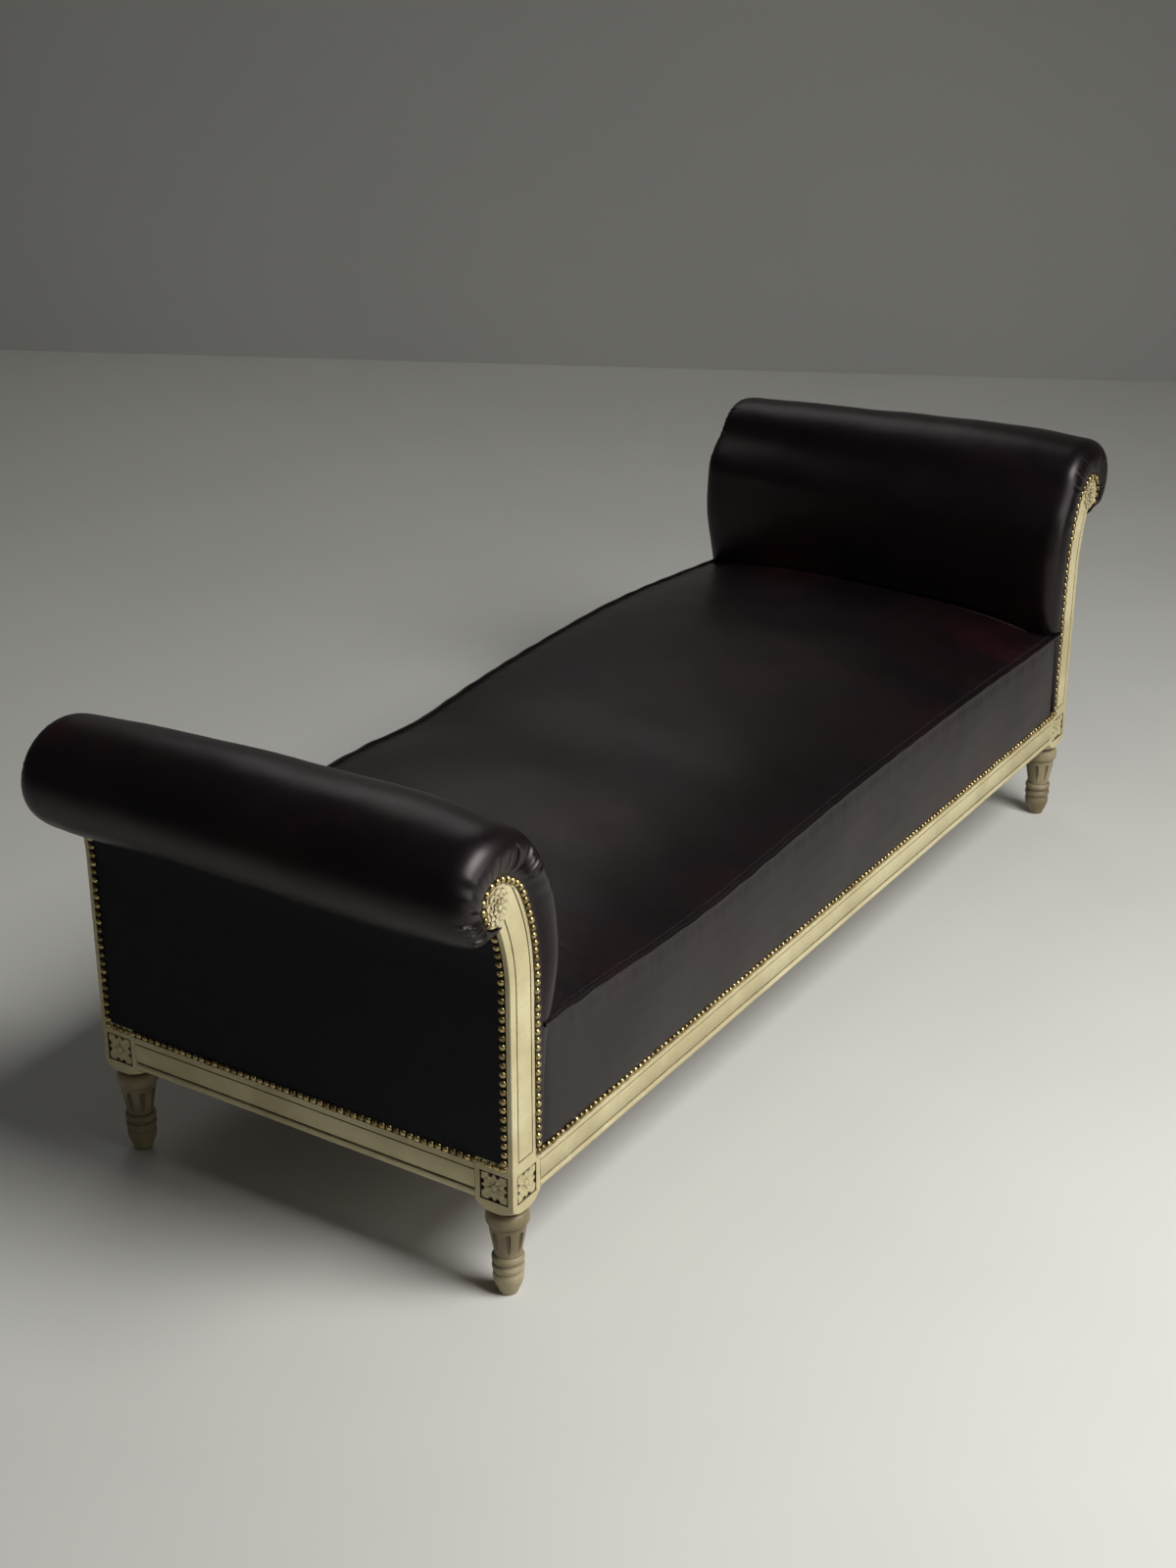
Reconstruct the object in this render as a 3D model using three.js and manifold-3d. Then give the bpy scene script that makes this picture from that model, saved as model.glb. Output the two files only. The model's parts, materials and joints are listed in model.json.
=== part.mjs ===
// A two-ended upholstered daybed in the Louis XVI manner: painted beech frame with scrolled end posts,
// turned and fluted legs, sprung and stuffed seat, and two stuffed rolls under leather.
// Millimetres, +Z up. X runs along the daybed, -Y is the front, Z is 0 on the floor.
import * as THREE from "three";
import { mergeVertices } from "three/addons/utils/BufferGeometryUtils.js";
import Module from "manifold-3d";

const wasm = await Module();
wasm.setup();

// Overall frame
const frameLength = 1737; // over the outer faces of the end posts
const frameWidth = 675; // over the front and back faces of the posts
const seatGap = 0.3; // what a piece keeps from the piece that it rests on or fits in
const cutOverrun = 6; // how far a cutting shape runs past the face that it opens

// Corner blocks and posts
const postWidth = 61; // along X, from the outer face to the seat side
const postDepth = 46; // along Y, above the rails
const blockDepth = 58; // along Y, where the rails come in
const shoulderHeight = 13; // turned underside of the block, down to the leg
const shoulderSeatRadius = 25; // flat round face that the leg comes up to
const straightHeight = 307; // from the block's lower corners to where the post starts to curve
const curveRadius = 310; // seat side of the curved stretch
const scrollRise = 130; // scroll centre above the start of the curve
const scrollRadius = 27; // painted wood round the flower, at the foot of the scroll
const scrollSteps = 14;
const curveSteps = 6;
// The scroll's edge as [degrees round its centre, share of the scroll radius]
const scrollShares = [
  [5, 2.04], [18, 1.8], [32, 1.6], [50, 1.49], [75, 1.43], [105, 1.41], [145, 1.39],
  [168, 1.31], [193, 1.15], [218, 1.05], [248, 1], [277, 1],
];
const leatherTurn = 218; // degrees round the scroll where the nailed leather ends
// Turned underside of the block as [reach share, height share] between the leg's seat and the corners
const undersideShares = [[0.5, 0.26], [0.8, 0.6]];

// Carved flower on each scroll, and fleuron in each block face
const flowerRadius = 23.5;
const flowerMargin = 0.8; // between the flower and the leather's edge
const flowerHeight = 5;
const flowerPetals = 8;
const flowerSegments = 24;
const fleuronSquare = 42;
const fleuronSink = 2.5;
const fleuronRadius = 19;
const fleuronPetals = 4;
const fleuronSegments = 12;
const fleuronRise = 24.5; // fleuron's centre above the block's lower corners
// Rings of a carved flower from its button outwards: reach and rise shares, and how deep the petals part
const petalShares = [
  { reach: 0.24, rise: 0.95, part: 0 },
  { reach: 0.32, rise: 0.45, part: 0 },
  { reach: 0.68, rise: 0.9, part: 0.35 },
  { reach: 1, rise: 0.3, part: 0.25 },
  { reach: 1, rise: -0.5, part: 0.25 },
];
const petalNotchShare = 0.4;

// Grooved panel on each post
const panelInsetOuter = 13; // from the post's outer face to the groove
const panelInsetSeat = 17; // from the post's seat side to the groove
const panelRise = 53; // lower groove above the block's lower corners
const panelGrooveWidth = 1.8;
const panelGrooveDepth = 1.5;
const panelSeatTurn = 29; // degrees of the curve that the seat-side groove follows
const panelOuterTurn = 24; // degrees of the curve that the outer groove follows

// Rails
const railThickness = 30;
const showHeight = 52; // painted height of a rail, up to the leather's edge
const rebateHeight = 11; // of the rail behind the leather
const rebateDepth = 2; // step that takes the leather's thickness
const beadHeight = 11; // rounded lower edge of the rails
const beadRelief = 2;
const beadShares = [0.65, 0.2]; // heights of the bead's fullest part and of its lower turn
const railGrooveWidth = 3.6;
const railGrooveDepth = 3;
const fineGrooveDrop = 10; // fine groove below the leather's edge
const fineGrooveWidth = 1.8;
const fineGrooveDepth = 1.2;
const tenonLength = 22;
const tenonThickness = 11;
const tenonHeight = 40;

// End frames
const crestInset = 13; // crest rail's section inside the post's outline
const crestRise = 318; // crest rail's lower edge above the main rails' lower edge
const crestTenonRadius = 9;
const crestTenonLength = 22;
const tackRailHeight = 42;
const tackRailThickness = 26;
const tackRailRise = 140; // its lower edge above the main rails' lower edge

// Corner braces, and the stretchers between the long rails
const braceReach = 76; // brace along each rail, past the corner block
const braceHeight = 40;
const braceRise = 10; // above the rails' lower edge
const stretcherWidth = 45;
const stretcherHeight = 34;
const stretcherDip = 12; // hollow of its upper edge at the middle
const stretcherRise = 4; // above the rails' lower edge
const outerColumns = 2; // columns of springs between a stretcher and its end

// Turned legs: radii, and heights as shares of the leg's height
const legHeight = 134; // floor to the shoulder of the corner block
const legTenonRadius = 10;
const legTenonLength = 23;
const legSegments = 16;
const fluteCount = 8;
const fluteDepth = 2.6;
const fluteTurn = 34.8; // degrees from +X to the first flute
const legRadii = {
  neck: 21, collarUpper: 26.2, collar: 28.5, collarLower: 26.7, taperTop: 24, taperFoot: 18, ring: 21,
  groove: 18.8, footTop: 19.8, footMiddle: 17.6, footLow: 13.6, sole: 9.5,
};
const legShares = {
  neck: 0.955, collarTop: 0.91, collarMiddle: 0.858, collarFoot: 0.806, taperTop: 0.79, fluteTop: 0.735,
  fluteFoot: 0.485, taperFoot: 0.448, ringTop: 0.425, ringFoot: 0.385, ringGroove: 0.354, lowRingTop: 0.328,
  lowRingFoot: 0.284, lowGroove: 0.25, footTop: 0.22, footMiddle: 0.134, footLow: 0.045,
};

// Springing
const webWidth = 52;
const webThickness = 1.6;
const webMargin = 12; // painted edge of the rails' underside that the webbing leaves free
const springColumns = 7;
const springRows = ["front", "middle", "back"];
const springMargin = 12; // from the springs to the stitched edge
const springHeight = 148;
const springTurns = 3.5;
const springEndRadius = 44;
const springWaistRadius = 25;
const springWire = 4.4;
const springSteps = 21;
const springFlatShare = 0.07; // of the wire's course, lying flat at each end
const hessianThickness = 1.2;
const hessianMargin = 14; // from the border leather to the hessian's edge

// Seat
const edgeRollWidth = 62; // stitched stuffing along the front and back
const edgeRollRound = 14;
const roundShare = 0.3; // of a rounded corner, left at its middle
const slabThickness = 71; // stuffing over the hessian, at the seams of the seat's ends
const seamRise = 9; // the seam's rise towards the middle
const seatCrown = 44; // seat's crown above its seams
const seatCrownPower = 3; // how full the crown is towards the seams
const endCrownShare = 0.78; // crown left at the seat's ends
const endCrownPower = 4; // how late the crown falls towards the ends
const seatColumns = 10;
const seatLanes = 8;
const borderBulge = 5;
const bulgePower = 8; // how late the bulge falls towards the ends
const leatherThickness = 1.7;
const weltRadius = 2.4;
const weltReachShare = 0.7; // of its radius, pressed flat against the border
const weltTurns = [20, 80, 140, 200]; // degrees round the welt
// The border's profile as [height share from the rail to the seam, share of its bulge]
const borderShares = [[0, 0], [0.3, 0.85], [0.65, 0.95], [0.97, 0.1]];

// Stuffed rolls and inner ends
const rollRadius = 98;
const rollCrown = 5; // extra radius at the middle of the width
const rollStretchShare = 0.06; // how much fuller the roll is where it runs into the inner face
const rollStretchTurn = 60; // degrees over which it does so
const endBulge = 3; // extra depth of the inner face at the middle
const shoulderDepth = 47; // rounded end of a roll, from the post's face inwards
const nailedEdge = 3; // leather past the post's edge where it is nailed
const leatherLap = 10; // leather over the post's face
const endClearance = 2; // lower edge of the end's stuffing above the main rails
const endFaceReach = 43; // inner face past the post's seat side
// The inner face as [height share from its foot to the scroll's centre, reach share]
const endFaceShares = [
  [0, 0.07], [0.25, 0.35], [0.42, 0.74], [0.52, 0.93], [0.66, 1], [0.82, 0.95], [0.94, 0.76],
];
const rollTurns = [14, 39, 64, 89, 114, 139, 164, 189, 214, 238, 261, 284]; // degrees
const stuffingBack = 17; // stuffing's hidden side, from the post's seat side outwards
const shoulderShares = [0, 0.15, 0.45, 1]; // places across the rounded shoulder
const shoulderCrownShare = 0.2;
const quarterCrownShare = 0.8;

// Leather on the outer ends
const paintedEdge = 7; // painted edge of the post beside the outer leather
const outerLeatherTuck = 8; // outer leather past the lowest line of the roll

// Finishes as the photograph shows them
const finish = (color, roughness, metalness = 0) =>
  new THREE.MeshStandardMaterial({ color, roughness, metalness });
const paint = finish(0xb5ab86, 0.55);
const beech = finish(0xa98457, 0.7);
const plumLeather = finish(0x2b1c20, 0.38);
const slateLeather = finish(0x1d1e24, 0.5);
const jute = finish(0x9b7f52, 0.9);
const horsehair = finish(0x5a4634, 1);
const steel = finish(0x8a8780, 0.45, 0.9);

const { degToRad, radToDeg, lerp, clamp, mapLinear, smoothstep } = THREE.MathUtils;

// Places that follow from the sizes above
const outerX = -frameLength / 2;
const seatSideX = outerX + postWidth;
const frontY = -frameWidth / 2;
const railFoot = legHeight + shoulderHeight;
const railHeight = showHeight + rebateHeight;
const railTop = railFoot + railHeight;
const leatherEdge = railFoot + showHeight;
const curveZ = railFoot + straightHeight;
const curveX = seatSideX - curveRadius;
const outerCurveRadius = curveRadius - postWidth;
const scrollZ = curveZ + scrollRise;
// The scroll's centre lies where its edge starts on the curve of the seat side
const scrollStart = { turn: degToRad(scrollShares[0][0]), reach: scrollShares[0][1] * scrollRadius };
const startRise = scrollRise + scrollStart.reach * Math.sin(scrollStart.turn);
const startX = curveX + Math.sqrt(curveRadius ** 2 - startRise ** 2);
const scrollX = startX - scrollStart.reach * Math.cos(scrollStart.turn);
const legX = outerX + blockDepth / 2;
const legY = frontY + blockDepth / 2;
const blockMiddleX = outerX + postWidth / 2;
const endFootZ = railTop + endClearance;
const webTop = railFoot - seatGap;
const springFoot = webTop + seatGap;
const hessianFoot = springFoot + springHeight + seatGap;
const slabFoot = hessianFoot + hessianThickness + seatGap;
const skinDepth = leatherThickness + seatGap;
const seatHalf = -seatSideX - nailedEdge;
const v2 = (x, y) => new THREE.Vector2(x, y);
const v3 = (x, y, z) => new THREE.Vector3(x, y, z);
const range = (count) => Array.from({ length: count }, (_, i) => i);

// Joining and cutting

function solidOf(geometry) {
  const bare = geometry.index ? geometry.toNonIndexed() : geometry.clone();
  bare.deleteAttribute("normal");
  bare.deleteAttribute("uv");
  const merged = mergeVertices(bare);
  return new wasm.Manifold(
    new wasm.Mesh({
      numProp: 3,
      vertProperties: merged.attributes.position.array,
      triVerts: new Uint32Array(merged.index.array),
    }),
  );
}

function geometryOf(solid) {
  const made = solid.getMesh();
  const geometry = new THREE.BufferGeometry();
  geometry.setAttribute("position", new THREE.BufferAttribute(made.vertProperties, 3));
  geometry.setIndex(new THREE.BufferAttribute(made.triVerts, 1));
  geometry.computeVertexNormals();
  return geometry;
}

const joined = (...geometries) => geometries.map(solidOf).reduce((a, b) => a.add(b));
const without = (solid, ...geometries) => geometries.map(solidOf).reduce((a, b) => a.subtract(b), solid);

// A closed mesh turned so that its faces point outwards
function facingOut(geometry) {
  const { position } = geometry.attributes;
  const corner = (i) => v3().fromBufferAttribute(position, geometry.index.getX(i));
  let volume = 0;
  for (let i = 0; i < geometry.index.count; i += 3) {
    volume += corner(i).dot(corner(i + 1).cross(corner(i + 2)));
  }
  if (volume < 0) geometry.index.array.reverse();
  return geometry;
}

function meshOf(positions, faces) {
  const geometry = new THREE.BufferGeometry();
  geometry.setAttribute("position", new THREE.Float32BufferAttribute(positions, 3));
  geometry.setIndex(faces);
  return facingOut(geometry);
}

// Shapes in the daybed's own directions

function box(x0, x1, y0, y1, z0, z1) {
  const geometry = new THREE.BoxGeometry(x1 - x0, y1 - y0, z1 - z0);
  return geometry.translate((x0 + x1) / 2, (y0 + y1) / 2, (z0 + z1) / 2);
}

const extruded = (points, depth) =>
  new THREE.ExtrudeGeometry(new THREE.Shape(points), { depth, bevelEnabled: false });

// An outline in X and Z, extruded from y0 to y1
const throughY = (points, y0, y1) => extruded(points, y1 - y0).rotateX(Math.PI / 2).translate(0, y1, 0);

// An outline in Y and Z, extruded from x0 to x1
const throughX = (points, x0, x1) =>
  extruded(points, x1 - x0).rotateX(Math.PI / 2).rotateZ(Math.PI / 2).translate(x0, 0, 0);

// A round rod along Z or Y between two places
function rodZ(radius, x, y, z0, z1) {
  const rod = new THREE.CylinderGeometry(radius, radius, z1 - z0, legSegments);
  return rod.rotateX(Math.PI / 2).translate(x, y, (z0 + z1) / 2);
}

function rodY(radius, x, y0, y1, z) {
  return new THREE.CylinderGeometry(radius, radius, y1 - y0, legSegments).translate(x, (y0 + y1) / 2, z);
}

// An open path widened to a closed band
function band(path, width) {
  const left = [];
  const right = [];
  path.forEach((point, i) => {
    const before = path[Math.max(i - 1, 0)];
    const after = path[Math.min(i + 1, path.length - 1)];
    const along = after.clone().sub(before).normalize();
    const aside = v2(-along.y, along.x).multiplyScalar(width / 2);
    left.push(point.clone().add(aside));
    right.unshift(point.clone().sub(aside));
  });
  return [...left, ...right];
}

// A skin through rings of points, closed by a flat cap at each end; flat gives a ring's own plane
function loft(rings, flat) {
  const count = rings[0].length;
  const faces = [];
  for (let start = 0; start < (rings.length - 1) * count; start += count) {
    range(count).forEach((i) => {
      const a = start + i;
      const b = start + ((i + 1) % count);
      faces.push(a, b, b + count, a, b + count, a + count);
    });
  }
  const cap = (ring, first, flip) => {
    const outline = ring.map(flat);
    const turn = Math.sign(THREE.ShapeUtils.area(outline));
    THREE.ShapeUtils.triangulateShape(outline, []).forEach((triangle) => {
      const own = Math.sign(THREE.ShapeUtils.area(triangle.map((i) => outline[i])));
      const corners = triangle.map((i) => first + i);
      if ((own === turn) === flip) corners.reverse();
      faces.push(...corners);
    });
  };
  cap(rings[0], 0, true);
  cap(rings.at(-1), (rings.length - 1) * count, false);
  return meshOf(rings.flat().flatMap((p) => [p.x, p.y, p.z]), faces);
}

// Post and scroll

function curvePoints(radius, degrees) {
  return range(curveSteps + 1).map((i) => {
    const angle = degToRad((degrees * i) / curveSteps);
    return v2(curveX + radius * Math.cos(angle), curveZ + radius * Math.sin(angle));
  });
}

const scrollCourse = new THREE.SplineCurve(scrollShares.map(([degrees, share]) => v2(degrees, share)));
const aboutScroll = (radius, degrees) =>
  v2(scrollX + radius * Math.cos(degToRad(degrees)), scrollZ + radius * Math.sin(degToRad(degrees)));
const turnOf = (point) => radToDeg(Math.atan2(point.y - curveZ, point.x - curveX));

// The scroll's edge at a share of its course: its direction, and its reach from the centre
function scrollEdge(course) {
  const { x: degrees, y: share } = scrollCourse.getPoint(course);
  return { degrees, reach: share * scrollRadius };
}

function scrollPoint(course, inset) {
  const { degrees, reach } = scrollEdge(course);
  return aboutScroll(reach - inset, degrees);
}

// How far the post's edge lies from the scroll's centre in a direction
function scrollReachAt(degrees) {
  const firstTurn = scrollShares[0][0];
  let low = 0;
  let high = 1;
  for (let pass = 0; pass < scrollSteps; pass += 1) {
    const middle = (low + high) / 2;
    if (scrollEdge(middle).degrees < Math.max(degrees, firstTurn)) low = middle;
    else high = middle;
  }
  return scrollEdge(low).reach;
}

const seatTurn = turnOf(scrollPoint(0, 0)) - 1;
const outerTurn = turnOf(scrollPoint(1, 0)) - 1;
const even = (inset) => () => inset;

// The post's outline above a foot, drawn in on the seat side, round the scroll and on the outer side
function postOutline(foot, insetSeat, insetScroll, insetOuter) {
  const courses = range(scrollSteps + 1).map((i) => i / scrollSteps);
  return [
    v2(outerX + insetOuter, foot),
    v2(seatSideX - insetSeat, foot),
    ...curvePoints(curveRadius - insetSeat, seatTurn),
    ...courses.map((course) => scrollPoint(course, insetScroll(course))),
    ...curvePoints(outerCurveRadius + insetOuter, outerTurn).reverse(),
  ];
}

// A carved flower standing up from z = 0 about the origin, with a root below
function carvedFlower(radius, height, petals, segments) {
  const positions = [0, 0, height];
  const faces = [];
  petalShares.forEach(({ reach, rise, part }, ring) => {
    range(segments).forEach((i) => {
      const angle = (2 * Math.PI * i) / segments;
      const dip = part * (0.5 - 0.5 * Math.cos(petals * angle));
      const notch = reach === 1 ? 1 - petalNotchShare * dip : 1;
      const place = v2(radius * reach * notch, 0).rotateAround(v2(0, 0), angle);
      positions.push(place.x, place.y, height * (rise < 0 ? rise : rise - dip));
      const a = 1 + ring * segments + i;
      const b = 1 + ring * segments + ((i + 1) % segments);
      if (ring === 0) faces.push(0, a, b);
      else faces.push(a - segments, a, b, a - segments, b, b - segments);
    });
  });
  const root = positions.length / 3;
  positions.push(0, 0, height * petalShares.at(-1).rise);
  range(segments).forEach((i) => {
    faces.push(root, root - segments + ((i + 1) % segments), root - segments + i);
  });
  return meshOf(positions, faces);
}

// The block's turned shoulder, which trims the block's lower corners and clears everything above
function shoulderTrim() {
  const corner = blockDepth * Math.SQRT1_2;
  const above = scrollZ + rollRadius;
  const profile = [
    v2(0, legHeight),
    v2(shoulderSeatRadius, legHeight),
    ...undersideShares.map(([out, up]) =>
      v2(lerp(shoulderSeatRadius, corner, out), lerp(legHeight, railFoot, up))),
    v2(corner, railFoot),
    v2(frameLength, railTop),
    v2(frameLength, above),
    v2(0, above),
  ];
  const lathe = new THREE.LatheGeometry(profile, 2 * legSegments);
  return facingOut(lathe.rotateX(Math.PI / 2).translate(legX, legY, 0));
}

// Mortises for the long rail's and the end rail's tenons
function mortises() {
  const z0 = railFoot + (railHeight - tenonHeight) / 2 - seatGap;
  const z1 = z0 + tenonHeight + 2 * seatGap;
  const near = (railThickness - tenonThickness) / 2 - seatGap;
  const far = near + tenonThickness + 2 * seatGap;
  const x0 = seatSideX - tenonLength - seatGap;
  const y0 = frontY + blockDepth - tenonLength - seatGap;
  return [
    box(x0, seatSideX + cutOverrun, frontY + near, frontY + far, z0, z1),
    box(outerX + near, outerX + far, y0, frontY + blockDepth + cutOverrun, z0, z1),
  ];
}

// The grooved line of the post's panel
function panelGroove() {
  const foot = railFoot + panelRise;
  const line = [
    ...curvePoints(curveRadius - panelInsetSeat, panelSeatTurn).reverse(),
    v2(seatSideX - panelInsetSeat, foot),
    v2(outerX + panelInsetOuter, foot),
    ...curvePoints(outerCurveRadius + panelInsetOuter, panelOuterTurn),
  ];
  return throughY(band(line, panelGrooveWidth), frontY - cutOverrun, frontY + panelGrooveDepth);
}

// The step on the post's outer side that the outer leather lies in
function outerStep() {
  const outline = [
    ...curvePoints(outerCurveRadius - cutOverrun, outerTurn).reverse(),
    v2(outerX - cutOverrun, leatherEdge),
    v2(outerX + rebateDepth, leatherEdge),
    ...curvePoints(outerCurveRadius + rebateDepth, outerTurn),
  ];
  return throughY(outline, frontY + paintedEdge, frontY + blockDepth + cutOverrun);
}

function post() {
  const upright = throughY(postOutline(railFoot, 0, even(0), 0), frontY, frontY + postDepth);
  const block = box(outerX, seatSideX, frontY, frontY + blockDepth, legHeight, railTop);
  const half = fleuronSquare / 2;
  const z = railFoot + fleuronRise;
  const innerY = frontY + postDepth;
  const floorY = frontY + fleuronSink;
  const floorX = outerX + fleuronSink;
  const cut = without(
    joined(upright, block).intersect(solidOf(shoulderTrim())),
    panelGroove(),
    outerStep(),
    box(blockMiddleX - half, blockMiddleX + half, frontY - cutOverrun, floorY, z - half, z + half),
    box(outerX - cutOverrun, floorX, legY - half, legY + half, z - half, z + half),
    rodZ(legTenonRadius + seatGap, legX, legY, legHeight - cutOverrun, legHeight + legTenonLength),
    rodY(crestTenonRadius + seatGap, scrollX, innerY - crestTenonLength, innerY + cutOverrun, scrollZ),
    ...mortises(),
  );
  const flower = carvedFlower(flowerRadius, flowerHeight, flowerPetals, flowerSegments);
  const fleuron = carvedFlower(fleuronRadius, fleuronSink, fleuronPetals, fleuronSegments);
  const carvings = [
    flower.rotateX(Math.PI / 2).translate(scrollX, frontY, scrollZ),
    fleuron.clone().rotateX(Math.PI / 2).translate(blockMiddleX, floorY, z),
    fleuron.clone().rotateY(-Math.PI / 2).translate(floorX, legY, z),
  ];
  return geometryOf(cut.add(joined(...carvings)));
}

// A turned leg with its tenon, standing at the origin
function leg() {
  const r = legRadii;
  const s = legShares;
  const seat = legHeight - seatGap;
  const profile = [
    [legTenonRadius, seat + legTenonLength - seatGap],
    [legTenonRadius, seat],
    [r.neck, seat],
    [r.neck, legHeight * s.neck],
    [r.collarUpper, legHeight * s.collarTop],
    [r.collar, legHeight * s.collarMiddle],
    [r.collarLower, legHeight * s.collarFoot],
    [r.taperTop, legHeight * s.taperTop],
    [r.taperTop, legHeight * s.fluteTop],
    [r.taperFoot, legHeight * s.fluteFoot],
    [r.taperFoot, legHeight * s.taperFoot],
    [r.ring, legHeight * s.ringTop],
    [r.ring, legHeight * s.ringFoot],
    [r.groove, legHeight * s.ringGroove],
    [r.ring, legHeight * s.lowRingTop],
    [r.ring, legHeight * s.lowRingFoot],
    [r.groove, legHeight * s.lowGroove],
    [r.footTop, legHeight * s.footTop],
    [r.footMiddle, legHeight * s.footMiddle],
    [r.footLow, legHeight * s.footLow],
    [r.sole, 0],
  ];
  const fluted = [s.fluteTop, s.fluteFoot].map((share) => legHeight * share);
  const rings = profile.map(([radius, height]) =>
    range(legSegments).map((i) => {
      const angle = degToRad(fluteTurn) + (2 * Math.PI * i) / legSegments;
      const sunk = fluted.includes(height) && i % (legSegments / fluteCount) === 0;
      const reach = radius - (sunk ? fluteDepth : 0);
      return v3(reach * Math.cos(angle), reach * Math.sin(angle), height);
    }),
  );
  return loft(rings, (p) => v2(p.x, p.y));
}

// Rails and braces

// The moulded section of a rail: depth in from its face, and height
function railSection() {
  const fine = fineGrooveWidth / 2;
  const fineHeight = showHeight - fineGrooveDrop;
  return [
    [railThickness, 0],
    [railThickness, railHeight],
    [rebateDepth, railHeight],
    [rebateDepth, showHeight],
    [0, showHeight],
    [0, fineHeight + fine],
    [fineGrooveDepth, fineHeight],
    [0, fineHeight - fine],
    [0, beadHeight + railGrooveWidth],
    [railGrooveDepth, beadHeight + railGrooveWidth / 2],
    [beadRelief / 2, beadHeight],
    [0, beadHeight * beadShares[0]],
    [beadRelief / 2, beadHeight * beadShares[1]],
    [beadRelief, 0],
  ];
}

const tenonSpan = () => [
  (railThickness - tenonThickness) / 2,
  (railThickness + tenonThickness) / 2,
  railFoot + (railHeight - tenonHeight) / 2,
  railFoot + (railHeight + tenonHeight) / 2,
];

function longRail() {
  const half = -seatSideX - seatGap;
  const section = railSection().map(([depth, height]) => v2(frontY + depth, railFoot + height));
  const [near, far, z0, z1] = tenonSpan();
  const reach = half + tenonLength - seatGap;
  const tenon = box(-reach, reach, frontY + near, frontY + far, z0, z1);
  return geometryOf(joined(throughX(section, -half, half), tenon));
}

function endRail() {
  const half = -frontY - blockDepth - seatGap;
  const section = railSection().map(([depth, height]) => v2(outerX + depth, railFoot + height));
  const [near, far, z0, z1] = tenonSpan();
  const reach = half + tenonLength - seatGap;
  const tenon = box(outerX + near, outerX + far, -reach, reach, z0, z1);
  return geometryOf(joined(throughY(section, -half, half), tenon));
}

// The shaped rail between two scrolls, which carries the roll's stuffing
function crestSection(inset) {
  const foot = railFoot + crestRise + inset - crestInset;
  return postOutline(foot, inset, even(inset), inset).filter((point) => point.y >= foot);
}

function crestRail() {
  const half = -frontY - postDepth - seatGap;
  const reach = half + crestTenonLength - seatGap;
  const tenon = rodY(crestTenonRadius, scrollX, -reach, reach, scrollZ);
  return geometryOf(joined(throughY(crestSection(crestInset), -half, half), tenon));
}

// The rail inside each end that the stuffing is tacked to
function tackRail() {
  const half = -frontY - postDepth - seatGap;
  const x1 = seatSideX - stuffingBack - seatGap;
  const z0 = railFoot + tackRailRise;
  return box(x1 - tackRailThickness, x1, -half, half, z0, z0 + tackRailHeight);
}

// A brace notched round the corner block, glued between two rails
function cornerBrace() {
  const x0 = outerX + railThickness + seatGap;
  const y0 = frontY + railThickness + seatGap;
  const x1 = seatSideX + seatGap;
  const y1 = frontY + blockDepth + seatGap;
  const outline = [v2(x1, y0), v2(x1 + braceReach, y0), v2(x0, y1 + braceReach), v2(x0, y1), v2(x1, y1)];
  return extruded(outline, braceHeight).translate(0, 0, railFoot + braceRise);
}

// A stretcher between the long rails and two columns of springs, hollowed on top
function stretcher() {
  const half = -frontY - railThickness - seatGap;
  const z0 = railFoot + stretcherRise;
  const z1 = z0 + stretcherHeight;
  const hollow = range(curveSteps + 1).map((i) => {
    const share = 1 - (2 * i) / curveSteps;
    return v2(half * share, z1 - stretcherDip * (1 - share * share));
  });
  const x = (springX(outerColumns - 1) + springX(outerColumns)) / 2;
  return throughX([v2(-half, z0), v2(half, z0), ...hollow], x - stretcherWidth / 2, x + stretcherWidth / 2);
}

// Springing

const columnPitch = (-2 * seatSideX - 2 * springEndRadius) / springColumns;
const lastRowY = -frontY - skinDepth - edgeRollWidth - springMargin - springEndRadius;
const springX = (column) => (column - (springColumns - 1) / 2) * columnPitch;
const springY = (row) => lerp(-lastRowY, lastRowY, row / (springRows.length - 1));

function webbing() {
  const halfX = -outerX - webMargin;
  const halfY = -frontY - webMargin;
  const z0 = webTop - webThickness;
  const across = range(springColumns).map(springX).map((x) =>
    box(x - webWidth / 2, x + webWidth / 2, -halfY, halfY, z0, webTop));
  const along = range(springRows.length).map(springY).map((y) =>
    box(-halfX, halfX, y - webWidth / 2, y + webWidth / 2, z0, webTop));
  return geometryOf(joined(...across, ...along));
}

// The wire's course in a waisted spring that lies flat at both ends
class SpringCourse extends THREE.Curve {
  getPoint(t, target = v3()) {
    const climb = clamp((t - springFlatShare) / (1 - 2 * springFlatShare), 0, 1);
    const radius = lerp(springWaistRadius, springEndRadius, (2 * climb - 1) ** 2);
    const angle = 2 * Math.PI * springTurns * t;
    const height = lerp(springWire / 2, springHeight - springWire / 2, climb);
    return target.set(radius * Math.cos(angle), radius * Math.sin(angle), height);
  }
}

function spring() {
  const r = springWire / 2;
  const section = new THREE.Shape([v2(r, 0), v2(0, r), v2(-r, 0), v2(0, -r)]);
  return new THREE.ExtrudeGeometry(section, { steps: springSteps, extrudePath: new SpringCourse() });
}

// The least clear space between the wire's turns, measured on points of its course
function springClearance() {
  const points = new SpringCourse().getPoints(springSteps * springColumns);
  const halfTurn = Math.round(points.length / springTurns / 2);
  const gaps = points.flatMap((point, i) =>
    points.slice(i + halfTurn).map((other) => point.distanceTo(other)));
  return Math.min(...gaps) - springWire;
}

// Stuffed ends

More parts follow.
